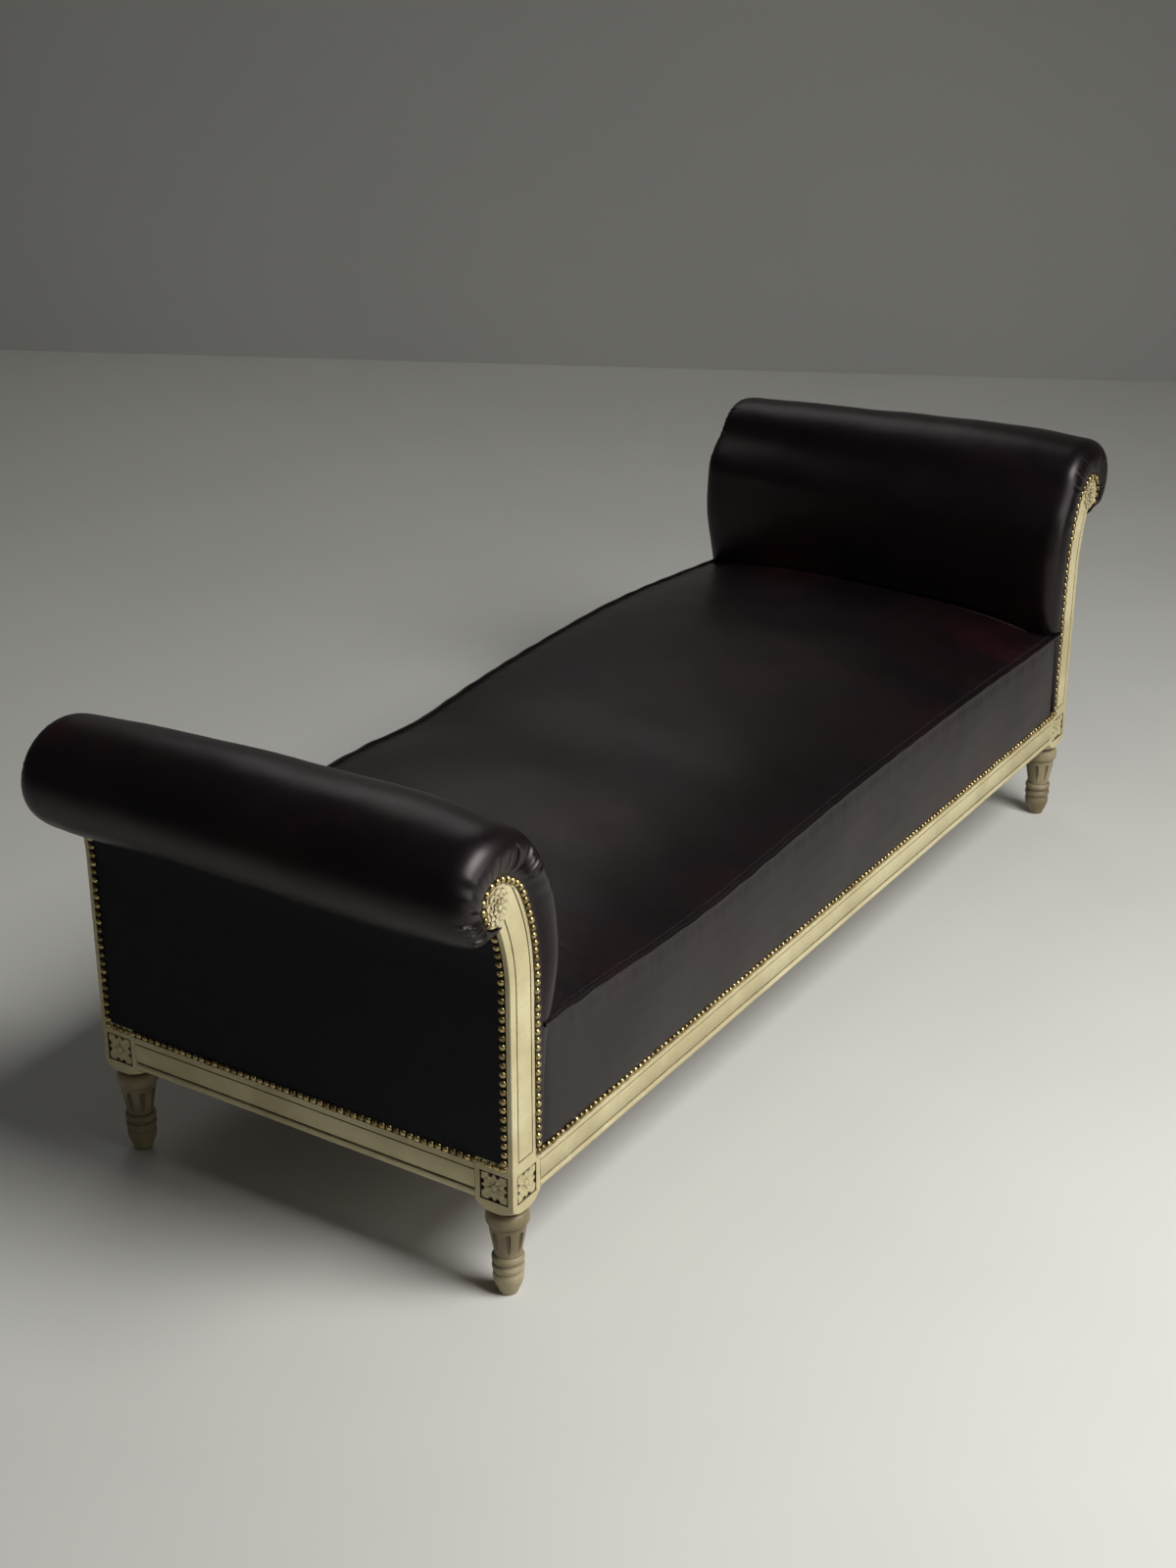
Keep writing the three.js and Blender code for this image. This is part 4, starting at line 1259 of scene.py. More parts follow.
@dataclass
class CornerPost:
    """A scrolled end post with its block, grooved panel and carvings."""

    arris: float = 0.0011
    square: float = 0.042
    sink: float = 0.0026
    fleuron_rise: float = 0.0245
    fleuron_back: float = 0.0015
    panel_rise: float = 0.0015
    panel_outer: float = 0.013
    panel_seat: float = 0.017
    panel_turns: Pair = (29, 24)
    groove: float = 0.00115
    groove_out: float = 0.0002
    rebate: float = 0.002
    rebate_below: float = 0.02
    painted_edge: float = 0.007
    overrun: float = 0.006
    block_overrun: float = 0.004
    # The shoulder under the block as radius and height, in millimetres, and the cone that clears its corners
    shoulder: tuple[Pair, ...] = ((25, 134), (29.5, 134.9), (33.5, 137.2), (37.8, 141.6),
                                                 (42.3, 147.6))
    clear: tuple[Pair, ...] = ((0.09, 0.16), (0.09, 0.3), (0, 0.3))

    def upright(self) -> Piece:
        """The post above the block, grooved on its face and stepped on its outer side."""
        back = S.front_y + S.post_depth
        turns = np.radians([0, 30, 60, 90])
        depths, insets = self.arris * (1 - np.cos(turns)), self.arris * (1 - np.sin(turns))
        levels = [*zip(S.front_y + depths, insets), *zip(back - depths[::-1], insets[::-1])]
        post = lofted("upright", np.stack([Plane.XZ.points(LINE.outline(S.rail_top, inset), y)
                                           for y, inset in levels]))
        outer = np.linspace(LINE.turn_of(-1) - 1, 0, 24)
        foot = S.leather_edge - self.rebate_below
        step = np.vstack([
            LINE.bend(S.outer_radius - self.overrun, outer),
            [[S.outer_x - self.overrun, foot]],
            [[S.outer_x + self.rebate, foot]],
            LINE.bend(S.outer_radius + self.rebate, outer[::-1]),
        ])
        cut(post, plate("step", step, Plane.XZ, S.front_y + self.painted_edge, back + self.overrun))
        return cut(post, self.panel())

    def panel(self) -> Piece:
        """A rod along the panel's grooved line."""
        foot = S.rail_top + self.panel_rise
        line = np.vstack([
            LINE.bend(S.curve_radius - self.panel_seat, np.linspace(self.panel_turns[0], 0, 14)),
            [[S.seat_side_x - self.panel_seat, foot]],
            [[S.outer_x + self.panel_outer, foot]],
            LINE.bend(S.outer_radius + self.panel_outer, np.linspace(0, self.panel_turns[1], 12)),
        ])
        return tube("panel", Plane.XZ.points(line, S.front_y + self.groove_out), self.groove, 8)

    def block(self) -> Piece:
        """The square block, with its turned shoulder and sunk squares."""
        bpy.ops.mesh.primitive_cube_add(size=1)
        block = named("block")
        low = np.array([S.outer_x, S.front_y, S.leg_height - self.block_overrun])
        high = np.array([S.seat_side_x, S.front_y + S.block_depth, S.rail_top])
        move_to(block, (vertices(block) + 0.5) * (high - low) + low)
        with editing(block):
            choose(block, lambda edge: abs(edge.verts[0].co.z - edge.verts[1].co.z) > 0.01)
            bpy.ops.mesh.bevel(offset=self.arris, segments=3, affect="EDGES")
        under = course(np.array(self.shoulder), np.linspace(0, 1, 17)) / 1000
        profile = [(0, S.leg_height), *map(tuple, under), *self.clear]
        cut(block, turned("shoulder", profile, 72, S.leg_axis), "INTERSECT")
        for axis in (0, 1):
            cut(block, self.sunk(axis))
        return block

    def centre(self, axis: int) -> Vector:
        """The middle of the sunk square on the block's outer (0) or front (1) face."""
        z = S.rail_foot + self.fleuron_rise
        if axis:
            return Vector(((S.outer_x + S.seat_side_x) / 2, S.front_y, z))
        return Vector((S.outer_x, S.leg_axis.y, z))

    def sunk(self, axis: int) -> Piece:
        """The box that sinks one square."""
        bpy.ops.mesh.primitive_cube_add(size=1)
        box = named("sunk")
        size = np.full(3, self.square)
        size[axis] = 2 * self.sink
        return move_to(box, vertices(box) * size + np.array(self.centre(axis)))

    def build(self) -> Piece:
        """Joins the front left post."""
        parts = [self.upright(), self.block()]
        flower = scroll_flower().build("flower", 60)
        flower.location = (S.scroll_x, S.front_y, S.scroll_z)
        parts.append(flower)
        for axis in (0, 1):
            fleuron = block_fleuron().build("fleuron", 56, self.fleuron_back)
            fleuron.location = self.centre(axis)
            fleuron.location[axis] += self.sink
            fleuron.rotation_euler[2] = -math.pi / 2 * (1 - axis)
            parts.append(fleuron)
        for part in parts:
            settle(part)
        return soften(joined("post_carved", *parts), 32)


@dataclass
class MouldedRail:
    """A rail with a bead, a quirk and a fine groove on its painted face."""

    # Depth from the face and height, in millimetres
    section: tuple[Pair, ...] = (
        (30, 0), (30, 63), (2, 63), (2, 52), (0.5, 52), (0.1, 51.7), (0, 51.2), (0, 43.1), (0.3, 42.8),
        (1.0, 42.4), (1.2, 42), (1.0, 41.6), (0.3, 41.2), (0, 40.9), (0, 15.3), (0.4, 14.8), (1.9, 14.3),
        (2.9, 13.6), (3.0, 12.6), (2.4, 11.8), (1.2, 11.1), (0.5, 9.8), (0.1, 8.3), (0, 6.8), (0.2, 4.9),
        (0.8, 3), (1.8, 1.4), (3.1, 0.4), (4.6, 0),
    )
    cuts: int = 90
    wave: Unevenness = Unevenness(5, 0.16, 0.00018)

    def build(self, name: str, face: float, plane: Plane, half: float) -> Piece:
        """One rail, its face at a level, between two ends.

        Args:
            name: The piece's name.
            face: The painted face's level.
            plane: YZ for a long rail, XZ for an end rail.
            half: Half of its length.
        """
        outline = np.array(self.section) / 1000 + (face, S.rail_foot)
        rail = plate(name, outline, plane, -half, half)
        way = plane.value[2]
        with editing(rail):
            choose(rail, lambda edge: abs(edge.verts[0].co[way] - edge.verts[1].co[way]) > half)
            bpy.ops.mesh.subdivide(number_cuts=self.cuts)
        places = vertices(rail)
        level = plane.value[0]
        places[:, level] += self.wave.at(places[:, way], places[:, 2])
        return soften(move_to(rail, places), 40)


class PaintedFrame:
    """Four posts, four legs and four rails in aged paint, and the bare beech inside."""

    hidden = (*(f"corner_brace_{turn.label}" for turn in Turn),
              *(f"{kind}_{end}" for kind in ("tack_rail", "stretcher") for end, _ in ENDS))
    gap = 0.0003

    def build(self, palette: Palette) -> None:
        """Builds one of each and mirrors it to its places."""
        leg, post = TurnedLeg().build(), CornerPost().build()
        # The legs take the darker paint, which holds painted shade as well as grime.
        for turn in Turn:
            for shape, kind, paint in ((leg, "leg", palette.leg_paint), (post, "post", palette.paint)):
                self.copy(shape, f"{kind}_{turn.label}", turn.value, paint)
        half, end_half = -S.seat_side_x - self.gap, -S.front_y - S.block_depth - self.gap
        long_rail = MouldedRail().build("rail_long", S.front_y, Plane.YZ, half)
        end_rail = MouldedRail(cuts=40).build("rail_end", S.outer_x, Plane.XZ, end_half)
        for side, turn_y in SIDES:
            self.copy(long_rail, f"rail_{side}", (1, turn_y), palette.paint)
        for end, turn_x in ENDS:
            self.copy(end_rail, f"end_rail_{end}", (turn_x, 1), palette.paint)
        for pattern in (leg, post, long_rail, end_rail):
            bpy.data.objects.remove(pattern)
        for name in self.hidden:
            node = frame["nodes"][name]
            node.data.materials.clear()
            node.data.materials.append(palette.beech)
            log.info("%s: bare beech", name)

    @staticmethod
    def copy(pattern: Piece, node: str, turns: tuple[int, int], paint: bpy.types.Material) -> None:
        """One painted copy of a pattern, mirrored to its place, that stands for a solid."""
        finish(flipped(pattern, f"{node}_painted", *turns), paint, "painted_wood", node)


# Stuffed ends

@dataclass(frozen=True)
class Gather:
    """One pleat in a roll's end.

    Args:
        degrees: Its turn round the scroll, where it starts at the nails.
        width: How wide it is.
        height: How far it stands out, or in where negative.
        reach: How far over the shoulder it runs, as a share.
        bend: Degrees that it turns on its way out.
    """

    degrees: float
    width: float
    height: float
    reach: float
    bend: float = 0
    # What every pleat shares: the shoulder's distance from the scroll's centre, how the pleat widens on its
    # way out, the hollows on both its sides, where it rises and where it starts to fade
    nail_reach, shoulder_depth = 0.038, 0.062
    start_width, widening = 0.7, 0.8
    hollow, hollow_place = 0.45, 2.1
    rise_share, fade_share = 0.05, 0.45

    def relief(self, degrees: Points, share: Points) -> Points:
        """The pleat's height.

        Args:
            degrees: Places round the scroll.
            share: Places over the shoulder, from 0 to 1.

        Returns:
            The height.
        """
        reach = self.nail_reach + self.shoulder_depth * np.sin(share * math.pi / 2)
        across = np.radians(degrees - self.degrees - self.bend * np.sqrt(share)) * reach
        width = self.width * (self.start_width + self.widening * share)
        fold = hump(across, 0, width) - self.hollow * hump(np.abs(across), self.hollow_place * width, width)
        fade = 1 - smooth_step(share, self.fade_share * self.reach, self.reach)
        return self.height * fold * smooth_step(share, 0, self.rise_share) * fade


@dataclass
class CrestRail:
    """The beech rail inside a roll, scrolled like the posts but drawn in from their edge."""

    foot: float = 0.453
    inset: float = 0.0125
    half: float = 0.2911

    def build(self, name: str, turn_x: int) -> Piece:
        """One rail between its posts."""
        outline = LINE.outline(self.foot, self.inset) * (turn_x, 1)
        return soften(modify(plate(name, outline, Plane.XZ, -self.half, self.half), "TRIANGULATE"), 32)


@dataclass
class StuffedEnd:
    """A leather-covered roll with its inner face, nailed round the posts' edges."""

    name: str
    turn_x: int
    front_gathers: tuple[Gather, ...]
    back_gathers: tuple[Gather, ...]
    seed: int
    radii: Row = (95, 103.5, 104.5, 102.8, 99.3, 93.3, 85.5)
    face_shares: tuple[Pair, ...] = (
        (0, 0.07), (0.25, 0.35), (0.42, 0.74), (0.52, 0.93), (0.66, 1), (0.82, 0.95), (0.94, 0.76))
    # The roll's section as degrees round the scroll and shares of the radius, flatter on its underside
    section: tuple[Pair, ...] = (
        (14, 1), (39, 1), (64, 1), (89, 1), (114, 1.02), (139, 1.04), (164, 1), (189, 0.85), (214, 0.67),
        (238, 0.56), (261, 0.51), (284, 0.51))
    face_reach: float = 0.043
    face_bulge: float = 0.003
    foot: float = 0.212
    stretch: float = 0.06
    stretch_turn: float = 60
    nailed: float = 0.003
    lap: float = 0.010
    last_lap: Pair = (212, 219)
    flower: float = 0.0243
    proud: float = 0.0018
    shoulder: float = 0.032
    shoulder_power: float = 2.8
    puffs: Pair = (0.013, 0.010)
    puff_turns: Pair = (-135, -50)
    end_turns: Pair = (205, 232)
    end_tuck: float = 0.006
    back_lift: float = 0.45
    hidden_x: float = -0.8245
    flange_share: float = 0.034
    shoulder_share: float = 0.22
    columns: int = 176
    rows: int = 272
    side_columns: float = 0.28
    face_rows: float = 0.17
    lift_shares: Pair = (0.55, 0.97)
    face_degree: float = 0.1
    pull: float = 0.00014
    slow: Pair = (0.16, 0.0009)
    quick: Pair = (0.045, 0.00018)
    pad_depth: float = 0.0027
    pad_width: float = 0.986
    pad_back: float = 0.098
    pad_main: Pair = (0.03, 0.94)
    pad_corners: Pair = (0.955, 0.985)

    @property
    def rises(self) -> Points:
        """The heights of the inner face's section, as shares."""
        return np.array(self.face_shares)[:, 0]

    @property
    def roll_turns(self) -> Points:
        """The degrees of the roll's section."""
        return np.array(self.section)[:, 0]

    def places(self, u: Points, v: Points) -> tuple[Points, Points]:
        """The grid's places, set closer on the shoulders and round the roll."""
        across = np.interp(u, (0, self.side_columns, 1 - self.side_columns, 1),
                           (0, self.shoulder_share, 1 - self.shoulder_share, 1))
        faces = len(self.face_shares) / (len(self.face_shares) + len(self.section) - 1)
        return across, np.interp(v, (0, self.face_rows, 1), (0, faces, 1))

    def stations(self, u: Points) -> tuple[Points, Points, Points, Points]:
        """The roll's form across its width.

        Args:
            u: Places from the front to the back.

        Returns:
            Y, how full the section is, how far in the flange lies, and the shoulder's share.
        """
        side = np.minimum(u, 1 - u)
        flange = 1 - np.clip(side / self.flange_share, 0, 1)
        share = np.clip((side - self.flange_share) / (self.shoulder_share - self.flange_share), 0, 1)
        angle = share * math.pi / 2
        half = -S.front_y + self.proud
        depth = self.shoulder + self.proud
        inner = (side - self.shoulder_share) / (0.5 - self.shoulder_share)
        fall = np.cos(angle).clip(0) ** (2 / self.shoulder_power)
        y = np.where(side < self.shoulder_share, -half + depth * (1 - fall), (-half + depth) * (1 - inner))
        return np.where(u > 0.5, -y, y), np.sin(angle) ** (2 / self.shoulder_power), flange, share

    def puffed(self, y: Points, share: Points, degrees: Points) -> Points:
        """How far the leather swells past the posts' faces beside the nails.

        Args:
            y: Places across the roll.
            share: Places over the shoulder.
            degrees: Places round the scroll.

        Returns:
            What is added to Y.
        """
        highest = 2 / 27 ** 0.5
        swell = np.sqrt(share) * (1 - share) / highest * smooth_step(degrees, *self.puff_turns)
        end = smooth_step(degrees, *self.end_turns)
        out = np.where(y < 0, -self.puffs[0], self.puffs[1]) * swell * (1 - end)
        return out - np.where(y < 0, -1.0, 1.0) * self.end_tuck * end * (1 - share)

    def edge_courses(self, v: Points, inset: Points) -> Points:
        """The nailed edge's section.

        Args:
            v: Places from the foot round the roll.
            inset: How far each is drawn in.

        Returns:
            Points in X and Z at the left end.
        """
        z = self.foot + self.rises * (S.scroll_z - self.foot)
        x = S.curve_x + np.sqrt(S.curve_radius**2 - np.maximum(z - S.curve_z, 0) ** 2)
        turns = self.roll_turns
        roll = LINE.about(LINE.reach_at(turns), turns)
        inward = np.vstack([np.tile([-1.0, 0.0], (len(z), 1)), -unit_ways(turns)])
        line = course(np.vstack([np.stack([x, z], -1), roll]), v)
        return line + course(inward, v) * np.asarray(inset)[:, None]

    def full_courses(self, v: Points, y: Points) -> Points:
        """The full section.

        Args:
            v: Places from the foot round the roll.
            y: Places across it.

        Returns:
            Points in X and Z at the left end.
        """
        rises, outs = np.array(self.face_shares).T
        z = self.foot + rises * (S.scroll_z - self.foot)
        turns, shares = np.array(self.section).T
        swell = 1 + self.stretch * (1 - smooth_step(turns, 0, self.stretch_turn))
        share = (y / -S.front_y + 1) / 2
        radius = course(np.array(self.radii), share) / 1000
        crown = 1 - (2 * share - 1) ** 2
        flat = course(np.vstack([np.stack([S.seat_side_x + self.face_reach * outs, z], -1),
                                 np.tile([S.scroll_x, S.scroll_z], (len(turns), 1))]), v)
        way = course(np.vstack([np.zeros((len(z), 2)), unit_ways(turns) * swell[:, None]]), v)
        bulge = course(np.concatenate([rises, np.zeros(len(turns))]), v) * self.face_bulge * crown
        flat[:, 0] += bulge
        flatter = 1 - course(np.concatenate([np.ones(len(z)), shares]), v)
        radius = radius * (1 - flatter * (1 - self.back_lift * smooth_step(share, *self.lift_shares)))
        return flat + way * radius[:, None]

    def direction(self, v: Points) -> Points:
        """Degrees round the scroll's centre, running on below it down the inner face."""
        down = -np.degrees((S.scroll_z - self.foot) * (1 - self.rises) / self.face_degree)
        return course(np.concatenate([down, self.roll_turns]), v)

    def shape(self, u: Points, v: Points, puffy: bool = True) -> Points:
        """The leather's outer surface.

        Args:
            u: Places from the front to the back.
            v: Places from the foot round the roll.
            puffy: Whether it swells beside the nails.

        Returns:
            Points in space.
        """
        y, spread, flange, share = self.stations(u)
        degrees = self.direction(v)
        first = LINE.degrees[0]
        lap = np.minimum(self.lap, LINE.reach_at(np.maximum(degrees, first)) - self.flower)
        lap = np.where(degrees < first, self.lap, lap)
        end = smooth_step(degrees, *self.last_lap)
        lap = lap * (1 - end) - self.nailed * end
        nailed = self.edge_courses(v, -self.nailed + flange * (self.nailed + lap))
        full = self.full_courses(v, y)
        full[:, 0] = np.where(degrees < 0, np.maximum(full[:, 0], nailed[:, 0]), full[:, 0])
        line = nailed + (full - nailed) * spread[:, None]
        y = y + self.puffed(y, share, degrees) * (flange == 0) * puffy
        return np.stack([self.turn_x * line[:, 0], y, line[:, 1]], -1)

    def relief(self, u: Points, v: Points, places: Points) -> Points:
        """Gathers at both ends and slow unevenness between them.

        Args:
            u: Places from the front to the back.
            v: Places from the foot round the roll.
            places: The same as points in space.

        Returns:
            How far each place stands out.
        """
        y, spread, flange, share = self.stations(u)
        degrees = self.direction(v)
        height = np.zeros_like(u)
        for gathers, here in ((self.front_gathers, y < 0), (self.back_gathers, y > 0)):
            for g in gathers:
                height += np.where(here & (flange == 0), g.relief(degrees, share), 0)
        pull = hump(share, 0.12, 0.12) * (flange == 0) * (degrees > 0)
        turn = np.radians(degrees)
        height += self.pull * np.sin(turn * 21 + 2 * np.sin(turn * 3)) * pull
        height += Unevenness(self.seed, *self.slow).at(*places.T) * spread
        height += Unevenness(self.seed + 1, *self.quick).at(*places.T) * spread
        return height

    def build(self, palette: Palette) -> None:
        """Stretches the leather over the roll."""
        spots: list[Points] = []

        def remembered(u: Points, v: Points) -> Points:
            """Keeps the grid's places for the relief."""
            spots.extend(self.places(u, v))
            return self.shape(*spots)
        leather = skin(f"roll_{self.name}_cover", self.columns, self.rows, remembered)
        self.outwards(leather)
        places = vertices(leather)
        normals = np.array([v.normal for v in leather.data.vertices])
        move_to(leather, places + normals * self.relief(*spots, places)[:, None])
        thick(leather)
        finish(leather, palette.plum, "plum_leather", f"roll_leather_{self.name}")
        self.stuffing(palette)
        finish(CrestRail().build(f"crest_rail_{self.name}_shaped", self.turn_x), palette.beech, "beech",
               f"crest_rail_{self.name}")

    def stuffing(self, palette: Palette) -> None:
        """The horsehair under the leather, closed behind and cut away round the posts and the crest rail."""
        hidden_x, hidden_z = self.turn_x * self.hidden_x, S.scroll_z - self.pad_back
        start, end = self.pad_main
        turn, close = self.pad_corners

        def shape(u: Points, v: Points) -> Points:
            """The leather's own form, run on to the hidden side and back to the foot."""
            inner = np.clip((v - start) / (end - start), 0, 1)
            side = self.flange_share + u * (1 - 2 * self.flange_share)
            places = self.shape(side, inner, False)
            places[:, 1] *= self.pad_width
            foot, back = (v < start / 2) | (v > close), (v > turn) & (v <= close)
            places[foot | back, 0] = hidden_x
            places[foot, 2] = self.foot
            places[back, 2] = hidden_z
            depth = self.relief(side, inner, places) - self.pad_depth
            spots.append(np.where((v > start) & (v < end), depth, 0))
            return places
        spots: list[Points] = []
        pad = skin(f"roll_{self.name}_horsehair", 90, 130, shape)
        self.outwards(pad)
        normals = np.array([v.normal for v in pad.data.vertices])
        move_to(pad, vertices(pad) + normals * spots[0][:, None])
        tidy(pad, 1e-5, True)
        for side, _ in SIDES:
            cut(pad, solid_copy(f"post_{side}_{self.name}"))
        cut(pad, CrestRail().build("crest", self.turn_x))
        finish(soften(pad, 60), palette.hair, "horsehair", f"roll_stuffing_{self.name}")

    def outwards(self, piece: Piece) -> None:
        """Turns an open skin's faces away from the roll's middle."""
        with editing(piece):
            bpy.ops.mesh.normals_make_consistent(inside=False)
        places = vertices(piece)
        top = int(np.argmax(places[:, 2]))
        out = Vector(places[top] - (self.turn_x * S.scroll_x, 0, S.scroll_z))
        if piece.data.vertices[top].normal @ out < 0:
            piece.data.flip_normals()


# Seat

@dataclass
class Seat:
    """The crowned seat, its leather borders and the welts of its seams."""

    # The front and the back seam's height along the daybed, in millimetres
    seam_front: Row = (382, 377, 368, 363, 365.5, 370, 373.5, 374, 373, 371.5, 368, 363, 361)
    seam_back: Row = (380, 381, 384, 387, 386, 378, 387, 393, 395, 395, 388, 376, 364)
    crown: float = 0.040
    crown_power: float = 3
    end_crown: float = 0.78
    half_width: float = 0.3356
    columns: int = 330
    rows: int = 136
    bulge: float = 0.005
    bulge_shares: tuple[Pair, ...] = ((0, 0), (0.12, 0.5), (0.3, 0.85), (0.5, 1), (0.65, 0.95),
                                                     (0.85, 0.55), (0.97, 0.1), (1, 0))
    end_room: Pair = (0.0335, 0.0395)
    # Where the corners give way to the shoulders, over which width, and how far they reach in the end
    corner_start: float = 0.3055
    corner_width: float = 0.034
    corner_reach: float = 0.003
    slow: Pair = (0.42, 0.0013)
    quick: Pair = (0.15, 0.0003)
    dent: float = 0.003
    dent_place: Pair = (-0.14, 0.13)
    dent_shares: Pair = (0.02, 0.3)
    folds: int = 26
    fold_half: float = 0.006
    pucker: float = 0.0005
    pucker_pitch: float = 0.047
    welt_out: float = 0.0026
    welt_radius: float = 0.0034
    stitch: float = 0.0052
    tuck: float = 0.018
    tuck_width: float = 0.022
    tuck_fade: Pair = (0.265, 0.334)
    seam_sink: float = 0.0024
    seam_width: float = 0.006
    border_room: float = 0.0022
    border_tuck: float = 0.0016
    border_wave: Pair = (0.3, 0.0010)
    border_gap: float = 0.0003
    under_seam: float = 0.0012
    border_pucker: float = 0.0002
    border_groove: float = 0.0004
    pad_sink: float = 0.0045
    pad_room: float = 0.006
    pad_side: float = 0.003
    pad_edge_share: float = 0.07
    thread: Triple = (0.0021, 0.0005, 0.0005)
    welt_wave: Pair = (0.06, 0.0003)
    welt_end: float = 0.004
    stitch_end: float = 0.012
    welt_twist: float = 0.00012

    def half(self, y: Points) -> Points:
        """Half of the seat's length, which gives way to the stuffed ends."""
        aside = np.clip((np.abs(y) - self.corner_start) / self.corner_width, 0, 1)
        across = 1 - np.abs(y / S.front_y) ** self.crown_power
        low, high = self.end_room
        room = (low + (high - low) * across) * (1 - aside**2.5) ** 0.4
        return S.seat_half - room + self.corner_reach * aside

    def seam(self, x: Points, turn: int) -> Points:
        """The height of the front seam for a turn of 1, of the back seam for -1."""
        heights = np.array(self.seam_front if turn > 0 else self.seam_back) / 1000
        return course(heights, (x / S.seat_half + 1) / 2)

    def level(self, x: Points, y: Points) -> Points:
        """The height between both seams."""
        share = (y / -S.front_y + 1) / 2
        return self.seam(x, 1) * (1 - share) + self.seam(x, -1) * share

    def top(self, x: Points, y: Points) -> Points:
        """The height of the seat's upper surface."""
        across = 1 - np.abs(y / -S.front_y) ** self.crown_power
        along = 1 + (self.end_crown - 1) * (x / S.seat_half) ** 4
        z = self.level(x, y) + self.crown * across * along
        z += Unevenness(31, *self.slow).at(x, y) * across
        z -= self.dent * hump(x, *self.dent_place) * smooth_step(y, *self.dent_shares) * across ** 0.5
        z += Unevenness(32, *self.quick).at(x, y)
        return z + self.wrinkles(x, y)

    def wrinkles(self, x: Points, y: Points) -> Points:
        """Shallow folds that lead in from the seat's seams and ends."""
        height = np.zeros_like(x)
        draw = np.random.default_rng(8)
        for _ in range(self.folds):
            far = draw.random() < 0.6
            x0 = (0.72 if far else -0.72) + draw.normal(0, 0.05)
            y0, turn = draw.uniform(-0.28, 0.3), draw.normal(math.pi / 2, 0.35)
            along = (x - x0) * math.cos(turn) + (y - y0) * math.sin(turn)
            across = -(x - x0) * math.sin(turn) + (y - y0) * math.cos(turn)
            across = across + 0.008 * np.sin(along * draw.uniform(20, 50))
            fold = draw.uniform(-0.0012, 0.0009) * hump(across, 0, self.fold_half)
            height += fold * hump(along, 0, draw.uniform(0.03, 0.09))
        edge = np.abs(y) / self.half_width
        pucker = np.sin(x * 2 * math.pi / self.pucker_pitch + 2.5 * np.sin(x * 9))
        return height + self.pucker * pucker * hump(edge, 0.965, 0.03)

    def build(self, palette: Palette) -> None:
        """Builds the cover, both borders and both welts."""
        self.cover(palette)
        self.stuffing(palette)
        for side, turn in SIDES:
            self.border(palette, side, turn)
            self.welt(palette, side, turn)

    def cover(self, palette: Palette) -> None:
        """The leather top, tucked down where it meets the stuffed ends."""
        def shape(u: Points, v: Points) -> Points:
            """The crowned surface, turned down at its ends and edges."""
            y = (2 * v - 1) * self.half_width
            half = self.half(y)
            x = (2 * u - 1) * half
            end = smooth_step(np.abs(x), half - self.tuck_width, half)
            side = smooth_step(np.abs(y), self.half_width - self.seam_width, self.half_width)
            corner = 1 - smooth_step(np.abs(y), *self.tuck_fade)
            z = self.top(x, y) - self.tuck * end**2 * corner - self.seam_sink * side**2
            return np.stack([x, y, z], -1)
        cover = thick(facing(skin("seat_cover", self.columns, self.rows, shape), (0, 0, 1)))
        finish(cover, palette.plum, "plum_leather", "seat_leather")

    def stuffing(self, palette: Palette) -> None:
        """The crowned slab of horsehair on the hessian."""
        edge = self.pad_edge_share

        def shape(u: Points, v: Points) -> Points:
            """Up one bulging side, over the crown and down the other."""
            side = np.minimum(v, 1 - v)
            rise = np.clip(side / edge, 0, 1)
            y = -self.half_width * (1 - np.clip((side - edge) / (0.5 - edge), 0, 1)) * np.sign(0.5 - v)
            x = (2 * u - 1) * (self.half(y) - self.pad_room)
            wall = S.slab_foot + (self.level(x, y) - self.pad_sink - S.slab_foot) * rise
            z = np.where(side < edge, wall, self.top(x, y) - self.pad_sink)
            share = (z - S.leather_edge) / (self.level(x, y) - S.leather_edge)
            out = (self.bulge * np.interp(share, *zip(*self.bulge_shares)) - self.pad_side) * (side < edge)
            return np.stack([x, y - np.sign(0.5 - v) * out, z], -1)
        pad = skin("seat_horsehair", 160, 90, shape)
        with editing(pad):
            choose(pad, lambda e: e.is_boundary and abs(e.verts[0].co.x - e.verts[1].co.x) > 1e-4)
            bpy.ops.mesh.bridge_edge_loops()
        tidy(pad, filled=True)
        finish(soften(pad, 60), palette.hair, "horsehair", "seat_stuffing")

    def border(self, palette: Palette, side: str, turn: int) -> None:
        """The leather border between a rail and the seam.

        Args:
            palette: The finishes.
            side: The side's name.
            turn: 1 at the front, -1 at the back.
        """
        foot = S.leather_edge + self.border_gap
        half = S.seat_half + self.border_room

        def shape(u: Points, v: Points) -> Points:
            """The bulging border, puckered under the seam and tucked in behind the stuffed ends."""
            x = (2 * u - 1) * half
            z = foot + (self.seam(x, turn) - self.under_seam - foot) * v
            out = self.bulge * np.interp(v, *zip(*self.bulge_shares)) * (1 - (x / S.seat_half) ** 8)
            out = out + Unevenness(41, *self.border_wave).at(x, z) * np.sin(math.pi * v)
            run = 2 * math.pi * x
            pucker = np.sin(run / 0.052 + 2 * np.sin(x * 7)) + 0.5 * np.sin(run / 0.021)
            out = out + self.border_pucker * pucker * hump(v, 0.9, 0.1)
            out = out - self.border_groove * hump(v, 0.93, 0.03)
            out = out - self.border_tuck * smooth_step(np.abs(x), half - self.tuck_width, half)
            return np.stack([x, turn * (S.front_y - out), z], -1)
        border = thick(facing(skin(f"border_{side}_cover", 330, 44, shape), (0, -turn, 0)))
        finish(border, palette.plum, "plum_leather", f"border_{side}")

